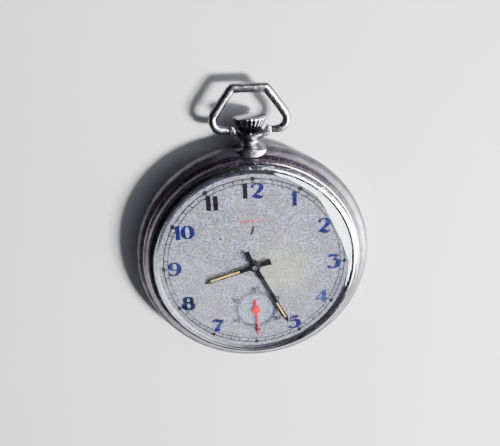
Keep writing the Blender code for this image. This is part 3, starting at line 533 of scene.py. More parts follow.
def stroke_edges(path, grow=0.0):
    """Left and right edges of a pen stroke given as (x, y, half width) points."""
    left, right = [], []
    for i, (x, y, half) in enumerate(path):
        before, after = path[max(0, i - 1)], path[min(len(path) - 1, i + 1)]
        along = Vector((after[0] - before[0], after[1] - before[1]))
        if along.length < 1e-9:
            along = Vector((1, 0))
        along.normalize()
        half = max(half + grow, 0.012)
        left.append((x - along.y * half, y + along.x * half))
        right.append((x + along.y * half, y - along.x * half))
    return left, right


def pen(bm, path, low, high, index=0, grow=0.0):
    left, right = stroke_edges(path, grow)
    ribbon(bm, left, right, low, high, index)


def circle(centre, radius, steps=24):
    return [polar(centre, radius, 2 * pi * i / steps) for i in range(steps)]


# ================= materials in use =================

polished = worn_nickel("nickel_polished", (0.56, 0.55, 0.57), (0.36, 0.34, 0.36), 0.06, 0.18)
# The crown's nickel is a darker copy of the polished nickel: painted shade.
crown_nickel_painted_shade = worn_nickel("nickel_crown_painted_shade", (0.46, 0.45, 0.47), (0.20, 0.18, 0.19), 0.10, 0.26)
# The slope's nickel is darkened and tinted reddish-purple: painted shade and a painted reddish reflection.
slope_painted_reflection = worn_nickel("nickel_slope_painted_reflection", (0.27, 0.235, 0.265), (0.16, 0.13, 0.15), 0.18, 0.32, 0.006, 0.3)
# The band's grain is real, but its colour is darkened far below the polished nickel: painted shade.
frosted_and_shaded = worn_nickel("nickel_frosted_painted_shade", (0.185, 0.18, 0.195), (0.11, 0.10, 0.11), 0.30, 0.46, 0.010, 0.8)
satin = worn_nickel("nickel_satin", (0.29, 0.285, 0.30), (0.16, 0.15, 0.16), 0.20, 0.36, 0.006, 0.3)
back_metal = worn_nickel("nickel_back", (0.66, 0.65, 0.66), (0.48, 0.46, 0.47), 0.16, 0.30, 0.006)
# Near-black colour in the bezel's milling gaps and the crown's flute grooves: painted shade in the recesses.
groove_shade = ink("milling_and_flute_shade", (0.010, 0.008, 0.009), (0.03, 0.025, 0.025))
silver = dial_silver()
glass = watch_glass()
foot = glass_edge()
black_lacquer = lacquer("hand_black", (0.008, 0.008, 0.010), (0.42, 0.40, 0.38), -0.03)
red_lacquer = lacquer("hand_red", (0.36, 0.005, 0.004), (0.12, 0.004, 0.004), 0.02)
paste = lume_paste()
blue = ink("ink_blue", (0.0075, 0.0080, 0.044), (0.020, 0.022, 0.078))
navy = ink("ink_navy", (0.0015, 0.0025, 0.016), (0.003, 0.005, 0.028))
black_ink = ink("ink_black", (0.006, 0.006, 0.007), (0.022, 0.018, 0.018))
worn_ink = ink("ink_worn", (0.008, 0.007, 0.008), (0.03, 0.027, 0.027), 0.04)
grey_ink = ink("ink_grey", (0.012, 0.012, 0.015), (0.03, 0.03, 0.034), 0.05)
red_ink = ink("ink_red", (0.22, 0.02, 0.018), (0.27, 0.04, 0.03), 0.05)
nickel = movement_metal("movement_nickel", (0.76, 0.74, 0.70), (0.56, 0.53, 0.49), 0.2, 0.34, True)
dark_steel = movement_metal("hub_steel", (0.16, 0.155, 0.15), (0.06, 0.055, 0.055), 0.15, 0.3)
brass = movement_metal("movement_brass", (0.80, 0.60, 0.26), (0.58, 0.40, 0.15), 0.16, 0.32)
steel = movement_metal("movement_steel", (0.58, 0.58, 0.60), (0.40, 0.40, 0.42), 0.14, 0.28)
blued = movement_metal("movement_blued", (0.03, 0.06, 0.34), (0.02, 0.03, 0.18), 0.14, 0.28)

BY_SLOT = {
    "case_metal": polished, "crystal": glass, "dial": silver,
    "hand_black": black_lacquer, "hand_red": red_lacquer, "lume": paste,
    "movement_nickel": nickel, "brass": brass, "steel": steel, "blued_steel": blued,
}


# ================= case =================

def bore(radius, start, end, segments=48):
    profile = [(0, start), (radius, start), (radius, end), (0, end)]
    return lie_along_y(lathe(profile, segments))


def make_middle():
    profile = [
        (22.05, 8.4, 0.06), (22.42, 8.4, 0.08), (22.9, 7.72, 0.1), (23.5, 7.12, 0.06), (23.62, 6.98, 0.05),
        (24.6, 6.2, 0.5), (25.02, 5.45, 0.4), (CASE_RADIUS, BAND_HEIGHT, 0.5),
        (25.05, 3.6, 0.5), (24.8, 2.5, 0.12),
        (23.9, 2.5), (23.9, 1.9), (21.9, 1.9), (21.9, 5.2),
        (OPENING, 5.2), (OPENING, 5.85), (21.75, 5.85), (22.05, 7.5),
    ]
    bm = combined(lathe(rounded(profile, 0.02)), [bore(0.75, 18, 27)], "DIFFERENCE")
    for face in bm.faces:
        middle = face.calc_center_median()
        radius = hypot(middle.x, middle.y)
        # The outer band takes the darkened nickel copy: painted shade.
        face.material_index = 0 if radius < 23.58 else 2
        # The slope faces take that darkened, tinted copy: painted shade and painted reflection.
        if middle.z > 7.0 and 22.5 < radius < 23.5:
            face.material_index = 1
    metals = (polished, slope_painted_reflection, frosted_and_shaded)
    piece_from(bm, "case_middle_fine", metals, "case", ["case_middle"], 32)


def make_bezel():
    profile = [
        (OPENING, 9.5, 0.03), (21.35, 9.44, 0.1), (22.06, 8.99, 0.05), (22.08, 8.47, 0.02), (22.0, 8.47),
        (22.0, 7.6), (21.45, 7.6), (21.45, 8.65), (OPENING, 8.65),
        (OPENING, 8.9), (21.3, 8.95), (21.3, 9.25), (20.95, 9.32),
    ]
    piece_from(lathe(rounded(profile, 0.02)), "bezel_fine", polished, "case", ["bezel"], 32)
    teeth = [
        (22.0, 8.94), (22.17, 8.93), (BEZEL_RADIUS, 8.86), (BEZEL_RADIUS, 8.53), (22.17, 8.47), (22.0, 8.47),
    ]

    def tooth(ring, angle, radius):
        share = (angle * MILLING_TEETH / (2 * pi)) % 1
        return radius - (MILLING_DEPTH if radius > 22.1 else 0.0) * (1 - abs(sin(pi * share)) ** 0.5)

    bm = lathe(teeth, MILLING_TEETH * 6, tooth)
    for face in bm.faces:
        middle = face.calc_center_median()
        # Faces down in the milling gaps take the near-black painted shade.
        in_a_gap = 22.02 < hypot(middle.x, middle.y) < BEZEL_RADIUS - 0.05
        face.material_index = int(in_a_gap and middle.z > 8.5)
    piece_from(bm, "bezel_milling", (polished, groove_shade), "case", (), 25)


def make_crystal():
    def dome(radius, base, rise):
        return base + rise * (1 - (radius / OPENING) ** 2.2)

    stations = [0] + [20.3 * ((i + 1) / 40) ** 0.8 for i in range(40)]
    top = [(r, dome(r, 9.4, CRYSTAL_TOP - 9.4)) for r in stations]
    rim = [(20.75, 9.36), (20.88, 9.28), (21.22, 9.2), (21.24, 9.0), (20.8, 8.98)]
    under = [(r, dome(r, 9.0, CRYSTAL_TOP - 9.8)) for r in stations[::-1]]
    bm = lathe(top + rim + under, FINE, closed=False)
    for face in bm.faces:
        middle = face.calc_center_median()
        face.material_index = int(hypot(middle.x, middle.y) > 20.86)
    piece_from(bm, "crystal_fine", (glass, foot), "case", ["crystal"], 50)


def make_edge_ring():
    """The polished cone between the dial and the bezel, seen through the edge of the glass."""
    profile = [
        (20.05, 8.66), (20.3, 8.78), (20.6, 9.0), (20.86, 9.24), (20.88, 8.92), (20.7, 8.7), (20.1, 8.63),
    ]
    piece_from(lathe(profile, FINE), "crystal_edge_ring", polished, "case", (), 40)


def make_back():
    profile = [
        (0, 0), (12, 0), (15.5, 0.12), (19, 0.42), (22, 0.9), (23.7, 1.45, 0.3), (24.75, 2.42, 0.05),
        (24.0, 2.42), (24.0, 1.8), (21, 1.25), (12, 0.6), (0, 0.6),
    ]
    bm = lathe(rounded(profile, 0.02))
    piece_from(bm, "case_back_fine", back_metal, "case", ["case_back"], 32)


def make_pendant():
    """The waisted neck, its cup for the crown and its two ears, cut clear of the case."""
    profile = [
        (0, 22.0), (3.9, 22.0), (3.85, 24.35), (3.3, 24.75), (2.5, 25.2), (2.05, 25.65), (1.95, 26.0),
        (2.15, 26.35), (2.7, 26.85), (3.2, 27.3), (3.45, 27.72), (0, 27.72),
    ]
    flowing = [(0, 22.0), (3.7, 22.0)] + smooth_path(profile[2:11], 5) + [(0, 27.72)]
    body = lathe(flowing, 96)
    for vert in body.verts:
        vert.co.y *= 1 - 0.2 * min(max((25.6 - vert.co.z) / 1.2, 0), 1)
    body = lie_along_y(body)
    ears = []
    for side in (-1, 1):
        outline = [
            (1.2, 26.15), (1.9, 26.3), (3.0, 26.62), (3.85, 27.05), (4.2, 27.45), (4.2, 28.6), (3.95, 28.85),
            (3.4, 28.85), (3.15, 28.6), (2.95, 28.1), (2.75, 27.75),
        ]
        outline = [(side * x, y) for x, y in outline]
        ear = cut_out([outline], BAND_HEIGHT - 0.8, BAND_HEIGHT + 0.8, 0.18, 3)
        hole = turn(lathe([(0, -1), (0.5, -1), (0.5, 1), (0, 1)], 32), pi / 2, "Y")
        ears.append(combined(ear, [move(hole, (side * 4.0, BOW_AXIS_Y, BAND_HEIGHT))], "DIFFERENCE"))
    cup = [(0, 27.05), (2.0, 27.05), (2.5, 27.3), (3.05, 27.8), (3.05, 29.5), (0, 29.5)]
    cavity = lie_along_y(lathe(cup, 96))
    case_space = lathe(
        [
            (0, 9), (22.45, 9), (22.95, 7.74), (23.55, 7.15), (23.68, 6.98), (24.66, 6.22), (25.08, 5.47),
            (CASE_RADIUS + 0.05, BAND_HEIGHT), (25.1, 3.6), (24.86, 2.5), (24.83, 2.36),
            (23.7, 1.2), (22, 0.5), (0, 0),
        ],
        FINE,
    )
    whole = combined(body, ears, "UNION")
    whole = combined(whole, [cavity, bore(0.9, 21, 28), case_space], "DIFFERENCE")
    piece_from(whole, "pendant_fine", satin, "case", ["pendant"], 34)


def make_crown():
    """Points of (radius, height, how much of the flutes' full depth is cut there)."""
    profile = [
        (0.0, 29.4, 0), (0.62, 29.4, 0), (0.62, 27.75, 0), (1.75, 27.75, 0), (1.95, 27.8, 0.3),
        (2.05, 27.9, 0.6), (2.75, 29.1, 1), (3.42, 30.3, 1), (3.5, 30.5, 0.8), (3.46, 30.68, 0.3),
        (3.34, 30.8, 0), (3.12, 30.9, 0), (2.6, 30.97, 0), (1.8, 31.06, 0), (0.9, 31.12, 0), (0.0, 31.15, 0),
    ]

    def flute(ring, angle, radius):
        share = (angle * FLUTES / (2 * pi)) % 1
        return radius - FLUTE_DEPTH * profile[ring][2] * (1 - abs(sin(pi * share)) ** 0.55)

    bm = lathe([point[:2] for point in profile], FLUTES * 16, flute, closed=False)
    for face in bm.faces:
        middle = face.calc_center_median()
        radius, height = hypot(middle.x, middle.y), middle.z
        ridge = 2.05 + (3.42 - 2.05) * (height - 27.9) / 2.4
        # Faces down in the flute grooves take the near-black painted shade.
        face.material_index = int(27.95 < height < 30.45 and radius < ridge - 0.075)
    metals = (crown_nickel_painted_shade, groove_shade)
    piece_from(lie_along_y(bm), "crown_fine", metals, "crown_stem", ["crown"], 38)


def make_bow():
    """Half of the wire as (x, y, wire radius), from its pin in the ear to the top bar, then mirrored."""
    side = [(3.45, BOW_AXIS_Y, 0.45), (4.22, BOW_AXIS_Y, 0.45)]
    wire = [(4.26, BOW_AXIS_Y, 0.60), (4.34, BOW_AXIS_Y, 0.70), (4.9, BOW_AXIS_Y + 0.02, 0.74)]
    wire += [(*polar((5.35, 30.1), 2.0, radians(-78 + 106 * i / 6)), 0.85) for i in range(7)]
    wire += [(6.95, 31.35, 0.92), (5.2, 33.8, 0.92)]
    wire += [(*polar((3.0, 35.55), 0.7, radians(30 + 55 * i / 3)), 0.92) for i in range(4)]
    half = side + [(4.25, BOW_AXIS_Y, 0.45)] + smooth_path(wire + [(0, 36.25, 0.92)], 5)
    path = half + [(-x, y, radius) for x, y, radius in half[-2::-1]]
    bm = bmesh.new()
    rings = []
    sides = 32
    for i, (x, y, radius) in enumerate(path):
        before, after = path[max(0, i - 1)], path[min(len(path) - 1, i + 1)]
        along = Vector((after[0] - before[0], after[1] - before[1], 0))
        if i in (0, len(path) - 1) or along.length < 1e-6:
            along = Vector((1, 0, 0))
        along.normalize()
        across = Vector((-along.y, along.x, 0))
        centre = Vector((x, y, BAND_HEIGHT))
        ring = []
        for k in range(sides):
            angle = 2 * pi * k / sides
            off = across * radius * cos(angle) + Vector((0, 0, radius * sin(angle)))
            ring.append(bm.verts.new(centre + off))
        rings.append(ring)
    for ring, following in zip(rings, rings[1:]):
        for k in range(sides):
            after = (k + 1) % sides
            bm.faces.new((ring[k], ring[after], following[after], following[k]))
    bm.faces.new(rings[0])
    bm.faces.new(rings[-1])
    bmesh.ops.recalc_face_normals(bm, faces=bm.faces[:])
    piece_from(bm, "bow_fine", satin, "bow", ["bow"], 45)


# ================= dial =================

def oval(cx, cy, rx, ry, thin, thick, start=0, end=360, steps=28):
    """A round pen stroke, thick at its sides and thin at its top and foot."""
    points = []
    for i in range(steps + 1):
        angle = radians(start + (end - start) * i / steps)
        half = thin + (thick - thin) * abs(cos(angle)) ** 1.6
        points.append((cx + rx * cos(angle), cy + ry * sin(angle), half))
    return points


# Strokes of each digit, 1 high and centred on 0: (x, y, half width) points, or the values of an oval.
GLYPHS = {
    "0": [("oval", (0, 0, 0.23, 0.44, 0.025, 0.10))],
    "1": [
        ((-0.17, 0.27, 0.018), (-0.06, 0.36, 0.03), (0.02, 0.48, 0.03)), ((0, 0.5, 0.085), (0, -0.5, 0.085)),
    ],
    "2": [
        ((-0.25, 0.22, 0.085), (-0.20, 0.38, 0.05), (0.0, 0.48, 0.028), (0.20, 0.34, 0.09),
         (0.19, 0.12, 0.10), (0.02, -0.12, 0.06), (-0.26, -0.42, 0.02)),
        ((-0.28, -0.42, 0.02), (-0.14, -0.39, 0.07), (0.05, -0.43, 0.09), (0.20, -0.46, 0.06),
         (0.31, -0.32, 0.02)),
    ],
    "3": [
        ((-0.25, 0.30, 0.02), (-0.20, 0.43, 0.055), (0.0, 0.44, 0.06), (0.25, 0.46, 0.03)),
        ((0.24, 0.45, 0.03), (0.10, 0.28, 0.03), (-0.04, 0.11, 0.025)),
        ((-0.04, 0.11, 0.03), (0.14, 0.10, 0.06), (0.25, -0.12, 0.115), (0.19, -0.36, 0.09),
         (0.0, -0.49, 0.035), (-0.20, -0.43, 0.06), (-0.25, -0.33, 0.09)),
    ],
    "4": [
        ((0.10, 0.5, 0.10), (0.10, -0.5, 0.10)),
        ((0.08, 0.48, 0.03), (-0.12, 0.16, 0.028), (-0.34, -0.18, 0.03)),
        ((-0.36, -0.20, 0.045), (0.34, -0.20, 0.045)),
    ],
    "5": [
        ((-0.17, 0.43, 0.025), (-0.02, 0.41, 0.06), (0.12, 0.43, 0.065), (0.26, 0.5, 0.02)),
        ((-0.17, 0.44, 0.028), (-0.20, 0.03, 0.028)),
        ((-0.20, 0.03, 0.025), (-0.02, 0.13, 0.035), (0.19, 0.06, 0.09), (0.25, -0.15, 0.12),
         (0.16, -0.39, 0.08), (-0.04, -0.49, 0.035), (-0.22, -0.42, 0.06), (-0.26, -0.33, 0.085)),
    ],
    "6": [
        ("oval", (0.0, -0.2, 0.23, 0.27, 0.03, 0.10)),
        ((-0.23, -0.2, 0.10), (-0.16, 0.16, 0.08), (0.16, 0.47, 0.03)),
    ],
    "7": [
        ((-0.30, 0.30, 0.02), (-0.22, 0.43, 0.07), (-0.06, 0.44, 0.085), (0.12, 0.38, 0.07),
         (0.31, 0.49, 0.025)),
        ((0.30, 0.48, 0.025), (0.14, 0.22, 0.045), (-0.01, -0.08, 0.09), (-0.07, -0.32, 0.11),
         (-0.06, -0.46, 0.11)),
    ],
    "8": [
        ("oval", (0.0, 0.255, 0.18, 0.205, 0.028, 0.085)), ("oval", (0.0, -0.22, 0.225, 0.25, 0.028, 0.10)),
    ],
    "9": [
        ("oval", (-0.02, 0.19, 0.22, 0.27, 0.028, 0.09)),
        ((0.21, 0.22, 0.10), (0.20, -0.06, 0.10), (0.10, -0.34, 0.07), (-0.08, -0.48, 0.03),
         (-0.23, -0.40, 0.07), (-0.24, -0.33, 0.08)),
    ],
}
SETTING_WIDTH = {"1": 0.46}    # room that a digit takes, against its height
USUAL_WIDTH = 0.84
BREADTH = 1.32                 # how much the strokes above are widened
DARK_EDGE = 0.045              # how much of each stroke's side stays in the edge ink


def glyph_paths(digit):
    for stroke in GLYPHS[digit]:
        if stroke[0] == "oval":
            yield oval(*stroke[1])
        else:
            yield smooth_path(stroke)


def write_number(bm, text, centre, height, fill, edge, weight):
    """Upright digits, each stroke a dark edge with a lighter fill standing a little higher."""
    widths = [SETTING_WIDTH.get(digit, USUAL_WIDTH) * height for digit in text]
    x = centre[0] - sum(widths) / 2
    for digit, width in zip(text, widths):
        for order, path in enumerate(glyph_paths(digit)):
            placed = [
                (x + width / 2 + px * height * BREADTH, centre[1] + py * height, half * height * weight)
                for px, py, half in path
            ]
            lift = 0.0015 * order
            pen(bm, placed, PRINT_FOOT, PRINT_TOP + lift, edge)
            if fill != edge:
                pen(bm, placed, PRINT_FOOT, PRINT_TOP + 0.006 + lift, fill, -DARK_EDGE)
        x += width


def make_dial():
    face = lathe([(1.1, 8.2), (21.3, 8.2), (21.3, DIAL_TOP), (1.1, DIAL_TOP)], FINE)
    floor = DIAL_TOP - SINK_DEPTH
    sink = move(lathe([(0, floor), (SINK, floor), (SINK, 9.6), (0, 9.6)], 128), (*FOURTH, 0))
    hole = move(lathe([(0, 8), (0.4, 8), (0.4, 9), (0, 9)], 48), (*FOURTH, 0))
    feet = [
        move(lathe([(0, 6.2), (0.4, 6.2), (0.4, 8.3), (0, 8.3)], 24), (*at, 0))
        for at in ((15.5, 10.5), (-14.5, -11.0))
    ]
    face = combined(combined(face, feet, "UNION"), [sink, hole], "DIFFERENCE")
    piece_from(face, "dial_fine", silver, "case", ["dial"], 30)


def make_seconds_dial():
    """The sunk disc, with fine turned rings."""
    rings = [(0.45, DIAL_TOP - 0.13)]
    steps = 40
    for i in range(steps):
        radius = 0.5 + (SINK - 0.56) * i / steps
        rings += [(radius, DIAL_TOP - 0.112), (radius + 0.04, DIAL_TOP - 0.104)]
    rings += [(SINK - 0.02, DIAL_TOP - 0.11), (SINK - 0.02, DIAL_TOP - 0.13)]
    disc = move(lathe(rings, 128), (*FOURTH, 0))
    piece_from(disc, "seconds_dial", seconds_silver(), "case", (), 20)


def seconds_silver():
    """The sunk seconds dial: cooler and cleaner silvering than the rest."""
    nodes = Nodes("seconds_silver")
    fine = nodes.noise(2.0, 5, 0.75)
    speckle = [(0.34, (0.045, 0.045, 0.056)), (0.48, (0.112, 0.116, 0.142)), (0.62, (0.20, 0.212, 0.262))]
    base = nodes.ramp(fine, speckle)
    cloud = nodes.ramp(nodes.noise(0.5, 4), [(0.45, 0.0), (0.7, 1.0)])
    base = nodes.mix(nodes.math("MULTIPLY", cloud, 0.3), base, (0.12, 0.11, 0.105))
    nodes.set(Base_Color=base, Roughness=nodes.span(fine, 0.6, 0.45), Specular_IOR_Level=0.0)
    nodes.bump(fine, 0.008)
    return nodes.material


def track_mark(bm, angle, near, far, half, lift, index=0):
    """A rectangle of the minute track, from one radius to another at this angle."""
    corners = [(near, -half), (far, -half), (far, half), (near, half)]
    outline = [(x * cos(angle) - y * sin(angle), x * sin(angle) + y * cos(angle)) for x, y in corners]
    slab(bm, outline, PRINT_FOOT, PRINT_TOP + lift, index)


def make_minute_track():
    bm = bmesh.new()
    for radius, half in ((TRACK_OUTER, 0.11), (TRACK_INNER, 0.085)):
        ring_band(bm, (0, 0), radius - half, radius + half, PRINT_FOOT, PRINT_TOP)
    for minute in range(60):
        angle = clock_angle(minute / 60)
        track_mark(bm, angle, TRACK_INNER, TRACK_OUTER, 0.09 if minute % 5 else 0.13, 0.001)
        if minute % 5 == 0:
            track_mark(bm, angle, TRACK_OUTER - 0.3, TRACK_OUTER + 0.42, 0.42, 0.004, 1)
    piece_from(bm, "minute_track", (worn_ink, black_ink), "case")


def make_numerals():
    """The hours. Ink indexes: 0 blue, 1 navy, 2 black, 3 slate."""
    bm = bmesh.new()
    inks = {4: (3, 1), 8: (1, 1), 11: (2, 2)}    # (fill, edge) where they aren't the usual ones
    weights = {8: 2.0, 11: 1.8}
    for hour in (1, 2, 3, 4, 5, 7, 8, 9, 10, 11):
        reach = NUMERAL_RADIUS if hour not in (10, 11) else NUMERAL_RADIUS - 0.25
        at = polar((0, 0), reach, clock_angle(hour / 12))
        fill, edge = inks.get(hour, (0, 1))
        write_number(bm, str(hour), at, NUMERAL_HEIGHT, fill, edge, weights.get(hour, 1.65))
    write_number(bm, "1", (-1.55, 16.6), NUMERAL_HEIGHT, 2, 2, 1.7)
    write_number(bm, "2", (0.85, 16.6), NUMERAL_HEIGHT * 0.98, 0, 1, 1.5)
    # Old repairs: blots of black paint on the 12, the 1 and the 11.
    blots = (
        (-1.45, 15.25, 0.42), (8.55, 13.45, 0.34), (8.05, 15.3, 0.14),
        (-8.75, 13.15, 0.26), (-7.6, 13.2, 0.22),
    )
    turns = [2 * pi * i / 20 for i in range(20)]
    for x, y, size in blots:
        outline = [
            (x + cos(a) * size * (1 + 0.2 * sin(3 * a + x)), y + sin(a) * size * (0.85 + 0.2 * cos(2 * a)))
            for a in turns
        ]
        slab(bm, outline, PRINT_FOOT, PRINT_TOP + 0.012, 2)
    slate = ink("ink_slate", (0.018, 0.028, 0.07), (0.035, 0.045, 0.09))
    piece_from(bm, "numerals", (blue, navy, black_ink, slate), "case")


def make_seconds_track():
    bm = bmesh.new()
    inner, outer = SINK + 0.16, SINK + 0.62
    for radius, half in ((inner, 0.07), (outer, 0.06)):
        ring_band(bm, FOURTH, radius - half, radius + half, PRINT_FOOT, PRINT_TOP, 120)
    for second in range(60):
        angle = clock_angle(second / 60)
        half, end = (0.06, outer) if second % 5 else (0.10, SINK + 0.78)
        a, b = polar(FOURTH, inner, angle), polar(FOURTH, end, angle)
        pen(bm, [(*a, half), (*b, half)], PRINT_FOOT, PRINT_TOP + 0.001)
    for tens in range(1, 7):
        at = polar(FOURTH, SINK + 1.35, clock_angle(tens / 6))
        write_number(bm, str(tens * 10), at, 1.0, 0, 0, 1.8)
    piece_from(bm, "seconds_track", grey_ink, "case")


def make_ornament():
    """A plain red scroll over the centre, and the dial's stray black marks."""
    bm = bmesh.new()
    scroll = [(0.35, 10.0, 0.06), (1.2, 10.2, 0.13), (2.3, 9.9, 0.11), (3.1, 10.15, 0.06), (3.3, 10.4, 0.04)]
    for side in (-1, 1):
        pen(bm, smooth_path([(side * x, y, w) for x, y, w in scroll]), PRINT_FOOT, PRINT_TOP, 0)
    slab(bm, [(0, 9.7), (0.3, 10.02), (0, 10.35), (-0.3, 10.02)], PRINT_FOOT, PRINT_TOP + 0.002, 0)
    marks = (
        ((-0.1, 8.9, 0.16), (-0.3, 7.9, 0.24), (-0.65, 6.9, 0.10)), ((-7.15, 6.5, 0.19), (-6.75, 6.4, 0.19)),
        ((-10.4, 12.6, 0.02), (-8.2, 10.1, 0.03)), ((-1.9, -5.6, 0.02), (-0.9, -6.6, 0.02)),
        ((-0.2, -5.5, 0.02), (-0.9, -6.6, 0.02)), ((-0.9, -6.6, 0.02), (-1.2, -8.0, 0.015)),
    )
    for mark in marks:
        pen(bm, mark, DIAL_TOP - 0.15, PRINT_TOP, 1)
    piece_from(bm, "dial_ornament", (red_ink, black_ink), "case")


# ================= hands =================

def arc(centre, radius, start, end, steps):
    return [polar(centre, radius, radians(start + (end - start) * i / steps)) for i in range(steps + 1)]


def hand_outline(length, tail, half, hub):
    side = degrees(asin(half / hub))
    upper = [(length, 0.05), (length - 1.0, half * 0.92), (length - 1.4, half)]
    upper += arc((0, 0), hub, side, 180 - side, 14) + [(-tail * 0.6, half * 1.05), (-tail, half * 1.45)]
    return upper + [(x, -y) for x, y in upper[::-1]]


def make_hand(name, share, size, low, high, window, hub_hole, boss):
    """A black hand with a window of lume and a steel boss. size: length, tail, half width, hub radius."""
    length, tail, half, hub = size
    start, end = window
    node = f"{name}_hand"
    angle = clock_angle(share)
    inner = half * 0.42
    outlines = [hand_outline(length, tail, half, hub), circle((0, 0), hub_hole, 32)]
    outlines.append([(start, -inner), (end, -inner), (end, inner), (start, inner)])
    bm = cut_out(outlines, low, high, 0.055, 1)
    piece_from(turn(bm, angle), f"{node}_fine", black_lacquer, node, [node], 25)
    ring = [(hub_hole, high - 0.02), (boss, high - 0.02), (boss, high + 0.05), (boss - 0.08, high + 0.09)]
    ring += [(hub_hole + 0.1, high + 0.09), (hub_hole, high + 0.05)]
    piece_from(lathe(ring, 96), f"{name}_boss", dark_steel, node, (), 30)
    bm = bmesh.new()
    rows = 60
    gap = 0.03
    along = [start + gap + (end - start - 2 * gap) * i / rows for i in range(rows + 1)]
    ribbon(bm, [(x, inner - gap) for x in along], [(x, -inner + gap) for x in along], low + 0.01, high - 0.01)
    for vert in bm.verts:
        if vert.co.z > low + 0.05:
            vert.co.z += 0.02 * sin(vert.co.x * 5.3) * cos(vert.co.x * 2.1)
    piece_from(turn(bm, angle), f"{name}_lume_fine", paste, node, [f"{name}_lume"], 30)


def make_hands():
    make_hand("hour", HOUR_SHARE, (11.3, 3.5, 0.5, 1.25), 9.22, 9.37, (3.4, 9.9), 0.92, 1.15)
    make_hand("minute", MINUTE_SHARE, (15.5, 4.0, 0.47, 1.0), 9.6, 9.75, (9.8, 14.1), 0.5, 0.9)


def make_seconds_hand():
    upper = [(6.4, 0.05), (5.9, 0.11)] + arc((0, 0), 0.9, 14, 166, 24) + [(-2.3, 0.26), (-2.7, 0.34)]
    outline = upper + [(x, -y) for x, y in upper[::-1]]
    bm = turn(cut_out([outline, circle((0, 0), 0.17, 24)], 8.95, 9.08, 0.04, 1), clock_angle(SECOND_SHARE))
    bm = move(bm, (*FOURTH, 0))
    piece_from(bm, "seconds_hand_fine", red_lacquer, "fourth_wheel", ["seconds_hand"], 25)
    hub = move(lathe([(0.17, 9.06), (0.5, 9.06), (0.47, 9.13), (0.36, 9.18), (0.17, 9.2)], 48), (*FOURTH, 0))
    piece_from(hub, "seconds_boss", red_lacquer, "fourth_wheel", (), 30)


# ================= movement trim =================

def screw_head(at, radius, low, high, angle):
    head = lathe([(0, low), (radius * 0.9, low), (radius, low + 0.06), (radius, high), (0, high)], 32)
    reach, half = radius * 1.2, radius * 0.12
    slot = bmesh.new()
    slab(slot, [(-reach, -half), (reach, -half), (reach, half), (-reach, half)], low - 1, low + 0.14)
    return move(turn(combined(head, [slot], "DIFFERENCE"), angle), (*at, 0))


def merged(parts):
    bm = bmesh.new()
    for part in parts:
        mesh = bpy.data.meshes.new("part")
        part.to_mesh(mesh)
        part.free()
        bm.from_mesh(mesh)
        bpy.data.meshes.remove(mesh)
    return bm


def make_trim():
    """Slotted screws that hold the bridges and cocks, seen once the case back is off."""
    feet = ((-16.6, -6.2), (-4.8, 17.6), (7.6, 14.2), (-7.5, -14.5), (-1.5, -17.3), (9.4, -14.6))
    heads = [screw_head(at, 0.85, 2.42, 2.7, 0.6 + 1.1 * order) for order, at in enumerate(feet)]
    piece_from(merged(heads), "bridge_screws", blued, "case", (), 30)


for node in frame["nodes"].values():
    finish = BY_SLOT[node.material_slots[0].material.name]
    for slot in node.material_slots:
        slot.material = finish

make_middle()
make_bezel()
make_crystal()
make_edge_ring()
make_back()
make_pendant()
make_crown()
make_bow()
make_dial()
make_seconds_dial()
make_minute_track()
make_numerals()
make_seconds_track()
make_ornament()
make_hands()
make_seconds_hand()
make_trim()


# ================= stage, lights and camera =================

def stage_floor():
    nodes = Nodes("paper")
    nodes.set(
        Base_Color=nodes.mix(nodes.noise(0.02, 3), (0.66, 0.66, 0.66), (0.62, 0.62, 0.63)),
        Roughness=nodes.span(nodes.noise(0.3), 0.75, 0.9),
    )
    mesh = bpy.data.meshes.new("floor")
    half = 900
    corners = ((-half, -half), (half, -half), (half, half), (-half, half))
    mesh.from_pydata([(x * MM, y * MM, -0.2 * MM) for x, y in corners], [], [(0, 1, 2, 3)])
    mesh.materials.append(nodes.material)
    floor = bpy.data.objects.new("floor", mesh)
    bpy.context.scene.collection.objects.link(floor)


def lamp(name, place, aim, size, power, colour=(1, 1, 1)):
    """A soft rectangular lamp, its place and aim in metres and its size (across, along)."""
    light = bpy.data.lights.new(name, "AREA")
    light.shape = "RECTANGLE"
    light.size, light.size_y = size
    light.energy = power
    light.color = colour
    obj = bpy.data.objects.new(name, light)
    obj.location = place
    obj.rotation_euler = (Vector(aim) - Vector(place)).to_track_quat("-Z", "Y").to_euler()
    bpy.context.scene.collection.objects.link(obj)
    return obj


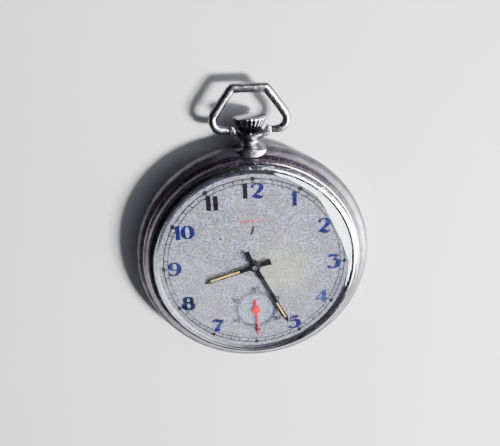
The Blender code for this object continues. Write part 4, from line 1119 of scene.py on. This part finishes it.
stage_floor()
key = lamp("key", (0.30, -0.07, 0.36), (0, 0, 0.01), (0.05, 0.10), 4.4, (1.0, 0.99, 0.98))
key.visible_glossy = False
key.visible_transmission = False
window = lamp("window", (0.40, 0.244, 0.65), (0.0, 0.244, 0.65), (1.4, 0.4), 62.0, (0.97, 0.98, 1.0))
# Turned so that this lamp's reflection falls on the right-hand side of the glass.
window.rotation_euler = Matrix(((0, 0, 1), (0.7, -0.714, 0), (0.714, 0.7, 0))).to_euler()
window.visible_diffuse = False
window.visible_transmission = False
lamp("fill", (-0.15, -0.45, 0.6), (0, 0, 0), (0.5, 0.3), 0.25, (0.90, 0.94, 1.0))


def make_world():
    """Dim light that grows towards +X, while the camera sees a plain pale ground."""
    world = bpy.data.worlds.new("studio")
    world.use_nodes = True
    nodes, link = world.node_tree.nodes, world.node_tree.links.new
    light = nodes["Background"]
    light.inputs["Color"].default_value = (0.84, 0.89, 1.0, 1)
    toward = nodes.new("ShaderNodeTexCoord")
    sides = nodes.new("ShaderNodeSeparateXYZ")
    spread = nodes.new("ShaderNodeMapRange")
    spread.inputs["From Min"].default_value = -0.5
    spread.inputs["To Min"].default_value = 0.03
    spread.inputs["To Max"].default_value = 0.42
    link(toward.outputs["Generated"], sides.inputs["Vector"])
    link(sides.outputs["X"], spread.inputs["Value"])
    link(spread.outputs["Result"], light.inputs["Strength"])
    paths = nodes.new("ShaderNodeLightPath")
    plain = nodes.new("ShaderNodeBackground")
    plain.inputs["Color"].default_value = (0.72, 0.73, 0.75, 1)
    chooser = nodes.new("ShaderNodeMixShader")
    link(paths.outputs["Is Camera Ray"], chooser.inputs["Fac"])
    link(light.outputs["Background"], chooser.inputs[1])
    link(plain.outputs["Background"], chooser.inputs[2])
    link(chooser.outputs["Shader"], nodes["World Output"].inputs["Surface"])
    bpy.context.scene.world = world


make_world()
bpy.context.scene.view_settings.look = "AgX - High Contrast"

camera = bpy.data.cameras.new("camera")
camera.lens = 38.3
camera.sensor_width = 36
camera.clip_start = 0.005
view = bpy.data.objects.new("camera", camera)
view.location = (-0.005900, 0.051699, 0.109172)
view.rotation_euler = (radians(-22.582), radians(-3.589), radians(-1.565))
bpy.context.scene.collection.objects.link(view)
bpy.context.scene.camera = view

bpy.context.view_layer.update()
